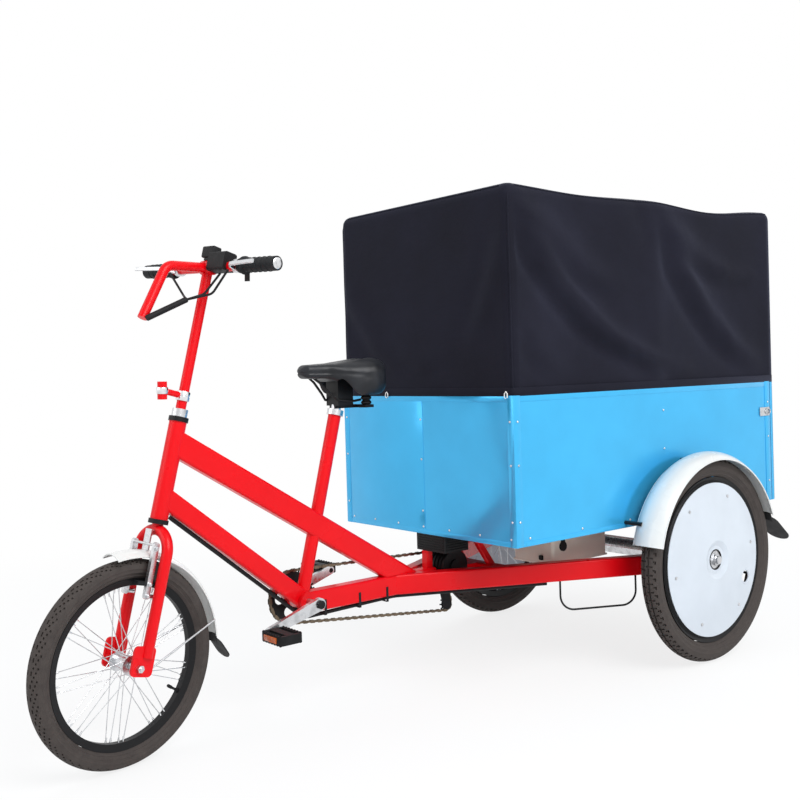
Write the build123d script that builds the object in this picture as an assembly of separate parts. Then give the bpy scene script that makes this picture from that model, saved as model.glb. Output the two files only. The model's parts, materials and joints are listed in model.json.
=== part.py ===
"""Electric cargo tricycle: pedal frame, A-shaped rear chassis, hooded load box."""
import os
from math import cos, pi, radians, sin, sqrt, tan

from build123d import *

# Driving dimensions, millimetres and degrees. X forward, Y left, Z up from the ground.
WHEELBASE = 1748
FRONT_WHEEL_R = 252
REAR_WHEEL_R = 318
FRONT_TYRE_WIDTH = 50
REAR_TYRE_WIDTH = 58
FRONT_RIM_R = 204
REAR_RIM_R = 254
RIM_DEPTH = 15
FRONT_RIM_WIDTH = 28
REAR_RIM_WIDTH = 36
TYRE_WALL = 6
BEAD_RISE = 3
RIM_WALL = 2
SPOKE_COUNT = 36
SPOKE_R = 1.1
SPOKE_GAP = 0.5
SPOKE_LEAN = 48
SPOKE_SPREAD = 3

# Steering
STEER_TILT = 14.5
PARKED_STEER = 10.2
FORK_OFFSET = 18
HEAD_TUBE_START = 352
HEAD_TUBE_LENGTH = 246
HEAD_TUBE_OD = 44
HEAD_TUBE_BORE = 36
CUP_HEIGHT = 12
CUP_OD = 50
STEERER_OD = 28
LOCKNUT_HEIGHT = 20
LOCKNUT_OD = 40
RUNNING_GAP = 0.05
PLAY = 0.5
FORK_LEG_OD = 28
FORK_LEG_Y = 58
DROPOUT_WIDTH = 44
DROPOUT_THICK = 6
DROPOUT_DROP = 20
DROPOUT_EDGE = 12
FRONT_AXLE_R = 5
FRONT_AXLE_NUT_R = 9.5
AXLE_NUT_LENGTH = 9
AXLE_SPACER_R = 9
LEG_FOOT = 26
HUB_FLANGE_R = 24
HUB_FLANGE_Y = 28
HUB_BARREL_R = 15
FLANGE_THICK = 3
REAR_BARREL_R = 24
REAR_FLANGE_R = 34
HUB_NUT_LENGTH = 8
HUB_NUT_R = 19
AXLE_TIP_LENGTH = 8
REAR_HUB_Y = 24
COVER_HOLE_R = 30
COVER_WELL_R = 44
COVER_RISE = 8
COVER_EDGE_Y = 19
COVER_THICK = 2
COVER_SLOPE = 16
VALVE_HOLE_R = 20
VALVE_HOLE_OUT = 183
VALVE_HOLE_ANGLE = 205
POST_OD = 26
BAR_HEIGHT = 1000
BAR_OD = 25
BAR_HALF = 258
GRIP_LENGTH = 118
GRIP_OD = 36
CARRIER_REACH = 128
CARRIER_DROP = 150
CARRIER_BEND = 34
LUG_HEIGHT = 664
LUG_REACH = 66
LUG_OD = 24
LUG_ARM_OD = 16
LUG_PEG_LENGTH = 44
GRIP_FLANGE_OD = 46
GRIP_FLANGE = 5
GRIP_RING_STEP = 18
GRIP_RING_RISE = 1.2
LEVER_REACH = 46
LEVER_CLAMP = 24
LEVER_COLLAR = 16
LEVER_WALL = 5
LEVER_DEPTH = 10
LEVER_THICK = 6
LEVER_BEND = 26
LEVER_SPLAY = 10
THROTTLE_LENGTH = 13
THROTTLE_OD = 38
THROTTLE_PADDLE = 34
DISPLAY_Y = 52
DISPLAY_WIDTH = 64
DISPLAY_DEPTH = 40
DISPLAY_HEIGHT = 48
DISPLAY_EDGE = 6
BRAKE_X = 26
BRAKE_BOSS_Z = 168
BRAKE_TOP_Z = 290
BRAKE_ARM_THICK = 10
BRAKE_ARM_WIDTH = 15
BRAKE_CABLE_R = 3
PAD_GAP = 2
PAD_OUTER_Y = 38
PAD_LENGTH = 54
PAD_HEIGHT = 10
STAY_R = 2.5
STAY_ANGLE = 62
BRIDGE_X = 24
BRIDGE_WIDTH = 24
BRIDGE_THICK = 4
BAR_CABLE_OD = 6
BAR_SLEEVE_OD = 15

# Pedal frame
BB_X = 1226
BB_Z = 320
BB_SHELL_OD = 50
BB_SHELL_LENGTH = 70
SEAT_TILT = 14.8
SEAT_TUBE_OD = 36
SEAT_TUBE_LENGTH = 530
SEAT_POST_OD = 28
SEAT_POST_RISE = 62
SEAT_CLAMP_OD = 46
SEAT_CLAMP_HEIGHT = 16
TOP_TUBE_JOIN = 545
TOP_TUBE_END_X = 836
TOP_TUBE_WIDTH = 40
TOP_TUBE_DEPTH = 64
DOWN_TUBE_JOIN = 407
DOWN_TUBE_WIDTH = 40
DOWN_TUBE_DEPTH = 50
TUBE_EDGE = 8

# Rear chassis
RAIL_Z = 311
RAIL_DEPTH = 58
RAIL_WIDTH = 40
RAIL_EDGE = 6
BEAM_END_X = 748
FORK_POINT_X = 900
RAIL_TYRE_GAP = 29
RAIL_KNEE_X = 110
RAIL_REAR_X = -110
RAIL_BEND = 90
CROSS_SIZE = 40
FRONT_CROSS_X = 560
REAR_CROSS_X = -80
POST_SIZE = 30
POST_STATION = 60
STRUT_Y = 62
STRUT_SIZE = 20
STRUT_RUN = 80
CENTRE_POST_X = 765
CENTRE_POST_SIZE = 22
AXLE_R = 12.5
AXLE_HOLE_R = 15
AXLE_HOUSING_OD = 52
AXLE_INNER_Y = 330
BEARING_OD = 52
BEARING_THICK = 14

# Load box
BOX_FRONT_X = 773
BOX_LENGTH = 1307
BOX_WIDTH = 762
BOX_TYRE_GAP = 52
FLOOR_Z = 443
FLOOR_THICK = 24
BOX_TOP_Z = 860
WALL = 20
HOOD_TOP_Z = 1444
HOOD_THICK = 8
HOOD_CORNER = 45
HOOP_OD = 22
HOOP_GAP = 0.6
HOOP_COUNT = 3
GATE_PIN_R = 4
GATE_TURN_GAP = 6
HINGE_R = 9
HINGE_BACK = 14
HINGE_DROP = 8
HINGE_WIDTH = 36
HINGE_LEAF = 60
HINGE_Y = 250

# Fenders
FRONT_FENDER_GAP = 20
REAR_FENDER_GAP = 16
FENDER_THICK = 2.5
FRONT_FENDER_WIDTH = 64
REAR_FENDER_WIDTH = 104
FRONT_FENDER_CROWN = 13
REAR_FENDER_CROWN = 22
REAR_FENDER_AHEAD = 76
REAR_FENDER_BACK = 70
FRONT_FENDER_AHEAD = 22
FRONT_FENDER_BACK = 72
TAIL_ROOT_ANGLE = 5
TAIL_FLARE = 34
TAIL_THICK = 3
REAR_TAIL_LENGTH = 150
FRONT_TAIL_LENGTH = 78
TAIL_SHARE = 0.72
BRACKET_LAP = 8
BRACKET_HALF = 18
BRACKET_THICK = 7
STRAP_ANGLE = 65
STRAP_LAP = 30
STRAP_R = 6

# Drive
CHAIN_Y = -46
CHAIN_PITCH = 12.7
RING_TEETH = 36
SPROCKET_TEETH = 18
SPROCKET_THICK = 3
TOOTH_RISE = 0.28
TOOTH_DEPTH = 0.3
TOOTH_WIDTH = 0.3
RING_WINDOWS = 5
RING_WINDOW_R = 15
RING_WINDOW_OUT = 42
JACK_X = 690
JACK_Z = 338
IDLER_TEETH = 10
IDLER_X = 655
IDLER_Z = 205
IDLER_ARM_WIDTH = 34
IDLER_ARM_THICK = 4
IDLER_PIN_R = 4
MOTOR_R = 50
MOTOR_LENGTH = 78
MOTOR_Y = 3
MOTOR_FINS = 5
MOTOR_FIN_DEPTH = 4
MOTOR_CAP_R = 22
MOTOR_CAP_LENGTH = 7
JACK_SHAFT_R = 8
PLATE_THICK = 1.3
PLATE_HEIGHT = 8
PLATE_GAP = 0.7
PLATE_SHARE = 0.68
ROLLER_SIZE = 4.4
CRANK_LENGTH = 165
CRANK_Y = 84
CRANK_DROP_ANGLE = 16
CRANK_HUB_R = 17
CRANK_TIP_R = 11
CRANK_THICK = 13
CRANK_CAP = 8
SPINDLE_R = 8
PEDAL_R = 7
PEDAL_LENGTH = 92
PEDAL_DEPTH = 68
PEDAL_HEIGHT = 24
PEDAL_GAP = 6
PEDAL_RAIL = 9
PEDAL_CORE = 24
BATTERY_LENGTH = 258
BATTERY_RIGHT_Y = 36
BATTERY_LEFT_Y = 200
BATTERY_HEIGHT = 121
BATTERY_FRONT_X = 428
BATTERY_EDGE = 10
SOCKET_BACK = 46
SOCKET_DROP = 66
SOCKET_R = 15
SOCKET_RISE = 5
CONTROLLER_LENGTH = 98
CONTROLLER_RIGHT_Y = -42
CONTROLLER_LEFT_Y = 85
CONTROLLER_HEIGHT = 51
CONTROLLER_FRONT_X = 770
CONTROLLER_EDGE = 4
CABLE_OD = 11
CABLE_START = 45
CABLE_BEND = 60
CABLE_SAG = 7
CABLE_END_X = 470
LOOP_OD = 6
LOOP_DROP = 92
LOOP_FRONT_X = 430
LOOP_LENGTH = 225
LOOP_BEND = 45

# Saddle, its side view in shares of length and height from the seat post's head
SADDLE_LENGTH = 256
SADDLE_WIDTH = 206
SADDLE_HEIGHT = 106
SADDLE_NOSE_AHEAD = 143
SADDLE_SKIRT_DROP = 20
SADDLE_EDGE = 12
SADDLE_NOSE_R = 24
SADDLE_REAR_R = 56
SADDLE_HOLLOW_HALF = 62
SADDLE_HOLLOW_RISE = 32
SADDLE_SIDE_VIEW = ((0.0, 0.60), (0.05, 0.81), (0.4, 0.86), (0.88, 1.0), (1.0, 0.78), (0.95, 0.06), (0.62, 0.0),
                    (0.42, 0.38), (0.1, 0.5))
SPRING_R = 15
SPRING_DROP = 48
SPRING_TURNS = 6
SPRING_Y = 44
SPRING_BACK = 60
SPRING_WIRE = 4
CLAMP_THICK = 8
CLAMP_HALF = 26

AXIS_UP = Vector(-sin(radians(STEER_TILT)), 0, cos(radians(STEER_TILT)))
AXIS_AHEAD = Vector(cos(radians(STEER_TILT)), 0, sin(radians(STEER_TILT)))
AXIS_FOOT = Vector(WHEELBASE, 0, FRONT_WHEEL_R) - AXIS_AHEAD * FORK_OFFSET
HEAD_PLANE = Plane(origin=AXIS_FOOT, x_dir=AXIS_AHEAD, z_dir=AXIS_UP)
STEER_FRAME = HEAD_PLANE.location * Rot(0, 0, PARKED_STEER)
FRONT_AXLE = Pos(FORK_OFFSET, 0, 0)
HEAD_TOP = HEAD_TUBE_START + HEAD_TUBE_LENGTH
STACK_TOP = HEAD_TOP + CUP_HEIGHT + LOCKNUT_HEIGHT
CROWN_SEAT = HEAD_TUBE_START - CUP_HEIGHT
BB = Vector(BB_X, 0, BB_Z)
SEAT_UP = Vector(-sin(radians(SEAT_TILT)), 0, cos(radians(SEAT_TILT)))
SEAT_TOP = BB + SEAT_UP * SEAT_TUBE_LENGTH
RAIL_TOP_Z = RAIL_Z + RAIL_DEPTH / 2
BOX_REAR_X = BOX_FRONT_X - BOX_LENGTH
BOX_HALF = BOX_WIDTH / 2
TRACK = BOX_WIDTH + REAR_TYRE_WIDTH + 2 * BOX_TYRE_GAP
RAIL_REAR_Y = (TRACK - REAR_TYRE_WIDTH - RAIL_WIDTH) / 2 - RAIL_TYRE_GAP
FLOOR_TOP_Z = FLOOR_Z + FLOOR_THICK
RAIL_SLOPE = RAIL_REAR_Y / (FORK_POINT_X - RAIL_KNEE_X)
SIDES = {"left": 1, "right": -1}

nodes = {}
steered = {}


def on_axis(distance):
    """Point on the steering axis, measured up from the foot of the front axle's offset."""
    return AXIS_FOOT + AXIS_UP * distance


def round_bar(start, end, radius, bore=0):
    """Round bar or tube between two points."""
    run = end - start
    place = Plane(origin=start, z_dir=run).location
    bar = Cylinder(radius, run.length, align=(Align.CENTER, Align.CENTER, Align.MIN))
    if bore:
        bar -= Cylinder(bore, run.length, align=(Align.CENTER, Align.CENTER, Align.MIN))
    return place * bar


def flat_bar(start, end, width, depth, edge):
    """Rectangular tube between two points, its width along Y when the run lies in XZ."""
    run = end - start
    side = Vector(0, 1, 0) if abs(run.normalized().Y) < 0.9 else Vector(1, 0, 0)
    profile = Plane(origin=start, x_dir=side, z_dir=run) * RectangleRounded(width, depth, edge)
    return extrude(profile, run.length)


def along_y(radius, length, centre=0):
    """Cylinder on the Y axis, its middle at the given Y."""
    return Pos(0, centre, 0) * Rot(90, 0, 0) * Cylinder(radius, length)


def block(x, y, z):
    """Box from its three (low, high) pairs."""
    size = (x[1] - x[0], y[1] - y[0], z[1] - z[0])
    return Pos((x[0] + x[1]) / 2, (y[0] + y[1]) / 2, (z[0] + z[1]) / 2) * Box(*size)


def turned(points, arc=360):
    """Solid of revolution about Y from (radius, y) points."""
    outline = Polyline(*[(radius, y, 0) for radius, y in points], close=True)
    return revolve(make_face(outline), Axis.Y, arc)


def rounded_hull(rounds):
    """Flat face drawn taut round circles given as (x, y, radius)."""
    return make_hull([Pos(x, y) * CenterArc((0, 0), radius, 0, 360) for x, y, radius in rounds])


def hexagon(across, length):
    """Nut blank on the Y axis."""
    return Rot(90, 0, 0) * extrude(RegularPolygon(across, 6), length / 2, both=True)


# Steering head
head_axis = (on_axis(HEAD_TUBE_START), on_axis(HEAD_TOP))
nodes["head_tube"] = round_bar(*head_axis, HEAD_TUBE_OD / 2, HEAD_TUBE_BORE / 2)
lower_cup = round_bar(on_axis(CROWN_SEAT + PLAY), head_axis[0], CUP_OD / 2, STEERER_OD / 2 + RUNNING_GAP)
upper_cup = round_bar(head_axis[1], on_axis(HEAD_TOP + CUP_HEIGHT), CUP_OD / 2, STEERER_OD / 2 + RUNNING_GAP)
nodes["headset_cups"] = Compound([lower_cup, upper_cup])
head_core = round_bar(*head_axis, HEAD_TUBE_OD / 2)

# Pedal frame
bb_shell = Pos(BB) * along_y(BB_SHELL_OD / 2, BB_SHELL_LENGTH)
bb_bore = Pos(BB) * along_y(SPINDLE_R + RUNNING_GAP, BB_SHELL_LENGTH)
top_end = Vector(TOP_TUBE_END_X, 0, RAIL_Z)
top_tube = flat_bar(on_axis(TOP_TUBE_JOIN), top_end, TOP_TUBE_WIDTH, TOP_TUBE_DEPTH, TUBE_EDGE) - head_core
down_tube = flat_bar(on_axis(DOWN_TUBE_JOIN), BB, DOWN_TUBE_WIDTH, DOWN_TUBE_DEPTH, TUBE_EDGE)
nodes["down_tube"] = down_tube - head_core - bb_shell
beam_run = (Vector(BB_X, 0, RAIL_Z), Vector(BEAM_END_X, 0, RAIL_Z))
beam = flat_bar(*beam_run, RAIL_WIDTH, RAIL_DEPTH, RAIL_EDGE) - bb_shell - down_tube
nodes["centre_beam"] = beam + (bb_shell - bb_bore)
beam_block = block((BEAM_END_X, BB_X), (-RAIL_WIDTH / 2, RAIL_WIDTH / 2), (0, RAIL_TOP_Z))
nodes["top_tube"] = top_tube - beam_block
seat_core = round_bar(BB, SEAT_TOP, SEAT_TUBE_OD / 2)
seat_bore = round_bar(BB + SEAT_UP * BB_SHELL_OD, SEAT_TOP, SEAT_POST_OD / 2)
nodes["seat_tube"] = seat_core - seat_bore - nodes["top_tube"] - bb_shell - beam - down_tube


# Rear chassis: two rails spread from the beam and run straight beside the wheels
def rail(side):
    """One chassis rail with the axle hole through its straight end."""
    start = Vector(FORK_POINT_X, 0, RAIL_Z)
    knee = Vector(RAIL_KNEE_X, side * RAIL_REAR_Y, RAIL_Z)
    rear = Vector(RAIL_REAR_X, side * RAIL_REAR_Y, RAIL_Z)
    path = FilletPolyline(start, knee, rear, radius=RAIL_BEND)
    profile = Plane(origin=start, x_dir=(0, 0, 1), z_dir=knee - start)
    bar = sweep(profile * RectangleRounded(RAIL_DEPTH, RAIL_WIDTH, RAIL_EDGE), path)
    hole = Pos(0, side * RAIL_REAR_Y, REAR_WHEEL_R) * along_y(AXLE_HOLE_R, 2 * RAIL_WIDTH)
    inner_half = block((0, WHEELBASE), sorted((0, -side * BOX_WIDTH)), (0, BOX_TOP_Z))
    return bar - hole - beam_hull - inner_half


beam_hull = block((BEAM_END_X, BB_X), (-RAIL_WIDTH / 2, RAIL_WIDTH / 2), (0, BOX_TOP_Z))
rails = {side: rail(sign) for side, sign in SIDES.items()}


def rail_y(x):
    """Centre line of the left rail at a place along the chassis."""
    return min(RAIL_REAR_Y, (FORK_POINT_X - x) * RAIL_SLOPE)


def cross_member(x):
    """Square tube between the rails."""
    half = rail_y(x) + RAIL_WIDTH
    bar = flat_bar(Vector(x, -half, RAIL_Z), Vector(x, half, RAIL_Z), CROSS_SIZE, CROSS_SIZE, RAIL_EDGE)
    outside = block((x - CROSS_SIZE, x + CROSS_SIZE), (-half, half), (0, BOX_TOP_Z))
    back, ahead = x - CROSS_SIZE, x + CROSS_SIZE
    corners = ((back, -rail_y(back)), (ahead, -rail_y(ahead)), (ahead, rail_y(ahead)), (back, rail_y(back)))
    kept = extrude(make_face(Polyline(*corners, close=True)), BOX_TOP_Z) & outside
    return (bar & kept) - rails["left"] - rails["right"]


posted_rails = []
post_x = (POST_STATION - POST_SIZE / 2, POST_STATION + POST_SIZE / 2)
for side, sign in SIDES.items():
    post_y = (sign * rail_y(POST_STATION) - POST_SIZE / 2, sign * rail_y(POST_STATION) + POST_SIZE / 2)
    posted_rails.append(rails[side] + block(post_x, post_y, (RAIL_Z, FLOOR_Z)))
nodes["chassis_rails"] = Compound(posted_rails)

# Rear axle: fixed housing between the rails, bearings outside them
rear_axle = Pos(0, 0, REAR_WHEEL_R)
inner_face = RAIL_REAR_Y - RAIL_WIDTH / 2
outer_face = RAIL_REAR_Y + RAIL_WIDTH / 2
housing = along_y(AXLE_HOUSING_OD / 2, 2 * inner_face)
bore_from = AXLE_INNER_Y - PLAY
for sign in SIDES.values():
    housing -= along_y(AXLE_HOLE_R, inner_face - bore_from, sign * (inner_face + bore_from) / 2)
bearings = [
    rear_axle * (along_y(BEARING_OD / 2, BEARING_THICK, sign * (outer_face + BEARING_THICK / 2))
                 - along_y(AXLE_R + RUNNING_GAP, 4 * BEARING_THICK, sign * outer_face))
    for sign in SIDES.values()
]
nodes["axle_housing"] = Compound([rear_axle * housing, *bearings])

# Drive: finned motor in a cradle on the front cross member, battery and controller under the floor
motor_place = Pos(JACK_X, 0, JACK_Z)
motor_ends = (MOTOR_Y - MOTOR_LENGTH / 2, MOTOR_Y + MOTOR_LENGTH / 2)
motor_outline = [(0, motor_ends[0]), (MOTOR_R, motor_ends[0])]
fin_step = MOTOR_LENGTH / (2 * MOTOR_FINS + 1)
for fin in range(MOTOR_FINS):
    valley = motor_ends[0] + (2 * fin + 1) * fin_step
    for share, depth in ((0, 0), (0.2, MOTOR_FIN_DEPTH), (0.8, MOTOR_FIN_DEPTH), (1, 0)):
        motor_outline.append((MOTOR_R - depth, valley + share * fin_step))
motor_outline += [(MOTOR_R, motor_ends[1]), (MOTOR_CAP_R, motor_ends[1])]
motor_outline += [(MOTOR_CAP_R, motor_ends[1] + MOTOR_CAP_LENGTH), (0, motor_ends[1] + MOTOR_CAP_LENGTH)]
shaft_tip = CHAIN_Y - SPROCKET_THICK
motor = turned(motor_outline) + along_y(JACK_SHAFT_R, MOTOR_Y - shaft_tip, (MOTOR_Y + shaft_tip) / 2)
cradle_x = (FRONT_CROSS_X + CROSS_SIZE / 2, JACK_X)
cradle_y = (MOTOR_Y - MOTOR_LENGTH / 4, MOTOR_Y + MOTOR_LENGTH / 4)
cradle_z = (RAIL_Z - CROSS_SIZE / 2, RAIL_Z + CROSS_SIZE / 2)
cradle = block(cradle_x, cradle_y, cradle_z) - motor_place * along_y(MOTOR_R, 4 * MOTOR_LENGTH)
cradle_member = cross_member(FRONT_CROSS_X) + cradle
strut_band = block((0, BB_X), (-BOX_HALF, BOX_HALF), (cradle_z[1], FLOOR_Z))
for sign in SIDES.values():
    strut_foot = Vector(FRONT_CROSS_X, sign * STRUT_Y, cradle_z[1])
    strut_head = Vector(FRONT_CROSS_X + STRUT_RUN, sign * STRUT_Y, FLOOR_Z)
    lead = (strut_head - strut_foot).normalized() * STRUT_SIZE
    strut = flat_bar(strut_foot - lead, strut_head + lead, STRUT_SIZE, STRUT_SIZE, TUBE_EDGE / 2)
    cradle_member += strut & strut_band
nodes["cross_members"] = Compound([cradle_member, cross_member(REAR_CROSS_X)])
battery_x = (BATTERY_FRONT_X - BATTERY_LENGTH, BATTERY_FRONT_X)
battery = block(battery_x, (BATTERY_RIGHT_Y, BATTERY_LEFT_Y), (FLOOR_Z - BATTERY_HEIGHT, FLOOR_Z))
nodes["battery_box"] = fillet(battery.edges().filter_by(Axis.Z), BATTERY_EDGE)
socket_spot = Pos(BATTERY_FRONT_X - SOCKET_BACK, BATTERY_LEFT_Y + SOCKET_RISE / 2, FLOOR_Z - SOCKET_DROP)
socket_cap = socket_spot * along_y(SOCKET_R, SOCKET_RISE)
socket_cap += socket_spot * Pos(0, 0, SOCKET_R) * Box(SOCKET_R, SOCKET_RISE, 2 * SOCKET_R)
button_spot = Pos(BATTERY_FRONT_X, BATTERY_LEFT_Y - SOCKET_BACK, FLOOR_Z - BATTERY_HEIGHT + 2 * BATTERY_EDGE)
button = button_spot * Rot(0, 90, 0) * extrude(RectangleRounded(SOCKET_R, SOCKET_R, TUBE_EDGE / 2), SOCKET_RISE)
nodes["battery_socket"] = Compound([socket_cap, button])
controller_x = (CONTROLLER_FRONT_X - CONTROLLER_LENGTH, CONTROLLER_FRONT_X)
controller_z = (FLOOR_Z - CONTROLLER_HEIGHT, FLOOR_Z)
controller = block(controller_x, (CONTROLLER_RIGHT_Y, CONTROLLER_LEFT_Y), controller_z)
nodes["controller_box"] = fillet(controller.edges().filter_by(Axis.Z), CONTROLLER_EDGE)
centre_post_x = (CENTRE_POST_X - CENTRE_POST_SIZE / 2, CENTRE_POST_X + CENTRE_POST_SIZE / 2)
centre_post = block(centre_post_x, (-CENTRE_POST_SIZE / 2, CENTRE_POST_SIZE / 2), (RAIL_Z, controller_z[0]))
nodes["centre_beam"] += centre_post


def pitch_radius(teeth):
    """Radius of the chain's pins on a sprocket."""
    return CHAIN_PITCH / (2 * sin(pi / teeth))


def toothed_disc(teeth, thickness, bore):
    """Sprocket on the Y axis with straight-flanked teeth."""
    tip = pitch_radius(teeth) + TOOTH_RISE * CHAIN_PITCH
    root = pitch_radius(teeth) - TOOTH_DEPTH * CHAIN_PITCH
    disc = Cylinder(root, thickness)
    tooth = Pos((tip + root - 1) / 2, 0, 0) * Box(tip - root + 1, TOOTH_WIDTH * CHAIN_PITCH, thickness)
    disc += PolarLocations(0, teeth) * tooth
    return Rot(90, 0, 0) * (disc - Cylinder(bore, thickness))


ring_place = Pos(BB_X, CHAIN_Y, BB_Z)
jack_place = Pos(JACK_X, CHAIN_Y, JACK_Z)
idler_place = Pos(IDLER_X, CHAIN_Y, IDLER_Z)
jack_sprocket = toothed_disc(SPROCKET_TEETH, SPROCKET_THICK, JACK_SHAFT_R / 2)
nodes["drive_motor"] = motor_place * motor + jack_place * jack_sprocket

# Chain: side plates that straddle the toothed wheels, rollers on the free runs, outer plates on every other link
wheels = ((BB_X, BB_Z, RING_TEETH), (JACK_X, JACK_Z, SPROCKET_TEETH), (IDLER_X, IDLER_Z, IDLER_TEETH))


def chain_loop(grow):
    """Face inside a taut loop round the three toothed wheels, off the pitch line by a distance."""
    return rounded_hull([(x, z, pitch_radius(teeth) + grow) for x, z, teeth in wheels])


def on_wheel(point):
    """Whether a pin at this point of the loop would lie among a wheel's teeth."""
    gaps = [(point - Vector(x, z)).length - pitch_radius(teeth) for x, z, teeth in wheels]
    return min(gaps) < CHAIN_PITCH / 2


chain_place = Plane(origin=(0, CHAIN_Y, 0), x_dir=(1, 0, 0), z_dir=(0, -1, 0))
band_face = chain_loop(PLATE_HEIGHT * PLATE_SHARE / 2) - chain_loop(-PLATE_HEIGHT * PLATE_SHARE / 2)
inner_half = SPROCKET_THICK / 2 + PLATE_GAP
pitch_line = chain_loop(0).wires()[0]
link_count = 2 * round(pitch_line.length / CHAIN_PITCH / 2)
link_step = pitch_line.length / link_count
places = [link * link_step for link in range(link_count)]
pins = [pitch_line.position_at(place, position_mode=PositionMode.LENGTH) for place in places]
link_half = CHAIN_PITCH / 2 + PLATE_HEIGHT / 2
link_top = [(-CHAIN_PITCH / 2, PLATE_HEIGHT / 2), (CHAIN_PITCH / 2, PLATE_HEIGHT / 2)]
link_foot = [(CHAIN_PITCH / 2, -PLATE_HEIGHT / 2), (-CHAIN_PITCH / 2, -PLATE_HEIGHT / 2)]
link_face = make_face(Polyline((-link_half, 0), *link_top, (link_half, 0), *link_foot, close=True))
roller_face = Rectangle(ROLLER_SIZE, ROLLER_SIZE)
link_faces = []
roller_faces = []
for link, pin in enumerate(pins):
    step = pins[(link + 1) % link_count] - pin
    turn = Rot(0, 0, Vector(1, 0).get_signed_angle(step, Vector(0, 0, 1)))
    if link % 2 == 0:
        middle = pin + step / 2
        link_faces.append(Pos(middle.X, middle.Y) * turn * link_face)
    if not on_wheel(pin):
        roller_faces.append(Pos(pin.X, pin.Y) * turn * roller_face)
chain = extrude(chain_place * Sketch(roller_faces), inner_half + PLATE_THICK / 2, both=True)
for sign in SIDES.values():
    band = extrude(chain_place * band_face, PLATE_THICK)
    plates = extrude(chain_place * Sketch(link_faces), PLATE_THICK)
    outward = inner_half if sign < 0 else -inner_half - PLATE_THICK
    beyond = outward + (PLATE_THICK if sign < 0 else -PLATE_THICK)
    chain += Pos(0, -outward, 0) * band + Pos(0, -beyond, 0) * plates
nodes["drive_chain"] = chain

# Idler that hangs from the motor's shaft and takes up the chain's slack
arm_near = motor_ends[0] - IDLER_ARM_THICK
arm_ends = ((JACK_X, JACK_Z, IDLER_ARM_WIDTH / 2), (IDLER_X, IDLER_Z, IDLER_ARM_WIDTH / 2))
arm_face = rounded_hull(arm_ends) - Pos(JACK_X, JACK_Z) * Circle(JACK_SHAFT_R)
idler_arm = Pos(0, motor_ends[0] - CHAIN_Y, 0) * extrude(chain_place * arm_face, IDLER_ARM_THICK)
pin_length = arm_near - CHAIN_Y + SPROCKET_THICK
idler_pin = idler_place * along_y(IDLER_PIN_R, pin_length, pin_length / 2 - SPROCKET_THICK)
idler_wheel = idler_place * toothed_disc(IDLER_TEETH, SPROCKET_THICK, IDLER_PIN_R / 2)
nodes["chain_idler"] = idler_arm + idler_pin + idler_wheel

# Load box of folded sheet panels with a hinged tailgate
side_x = (BOX_REAR_X + WALL, BOX_FRONT_X - WALL)
floor_half = BOX_HALF - WALL
nodes["box_floor"] = block(side_x, (-floor_half, floor_half), (FLOOR_Z, FLOOR_TOP_Z))
nodes["box_front"] = block((BOX_FRONT_X - WALL, BOX_FRONT_X), (-BOX_HALF, BOX_HALF), (FLOOR_Z, BOX_TOP_Z))
side_panels = []
for sign in SIDES.values():
    y = sorted((sign * BOX_HALF, sign * floor_half))
    side_panels.append(block(side_x, y, (FLOOR_Z, BOX_TOP_Z)))
nodes["box_sides"] = Compound(side_panels)

gate_z = (FLOOR_Z, BOX_TOP_Z)
gate_x = (BOX_REAR_X, BOX_REAR_X + WALL - GATE_TURN_GAP)
gate = block(gate_x, (-BOX_HALF, BOX_HALF), gate_z)
hinge_axis = Pos(BOX_REAR_X - HINGE_BACK, 0, FLOOR_Z - HINGE_DROP)
hinge_mounts = []
for sign in SIDES.values():
    y = sign * HINGE_Y
    leaf_x = (BOX_REAR_X - HINGE_BACK, BOX_REAR_X)
    leaf = block(leaf_x, (y - HINGE_WIDTH, y), (FLOOR_Z - HINGE_DROP, FLOOR_Z + HINGE_LEAF))
    knuckle = hinge_axis * along_y(HINGE_R, HINGE_WIDTH, y - HINGE_WIDTH / 2)
    gate += leaf + knuckle
    gate -= hinge_axis * along_y(GATE_PIN_R + RUNNING_GAP, 4 * HINGE_WIDTH, y)
    arm_x = (BOX_REAR_X - HINGE_BACK, BOX_REAR_X + WALL + HINGE_LEAF)
    arm_y = (y + PLAY, y + HINGE_WIDTH)
    arm = block(arm_x, arm_y, (FLOOR_Z - HINGE_DROP - HINGE_R, FLOOR_Z - HINGE_DROP + GATE_PIN_R / 2))
    seat = block((BOX_REAR_X + WALL, arm_x[1]), arm_y, (FLOOR_Z - HINGE_DROP, FLOOR_Z))
    eye = hinge_axis * along_y(HINGE_R, HINGE_WIDTH - PLAY, y + (HINGE_WIDTH + PLAY) / 2)
    pin = hinge_axis * along_y(GATE_PIN_R, 2 * HINGE_WIDTH, y)
    hinge_mounts.append(arm + seat + eye + pin)
nodes["tailgate"] = gate
nodes["gate_hinges"] = Compound(hinge_mounts)


# Hood: fabric skin over steel hoops, open at the rear
def hood_profile(inset):
    """Front view of the hood, square at the foot and rounded at the top."""
    half = BOX_HALF - inset
    top = HOOD_TOP_Z - inset
    corner = HOOD_CORNER - inset
    face = Pos(0, (top + BOX_TOP_Z) / 2) * Rectangle(2 * half, top - BOX_TOP_Z)
    upper = face.vertices().group_by(Axis.Y)[-1]
    return Plane.YZ * fillet(upper, corner)


def hood_slab(inset, x):
    """Hood profile pushed along X between two places."""
    return Pos(x[0], 0, 0) * extrude(hood_profile(inset), x[1] - x[0])


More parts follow.
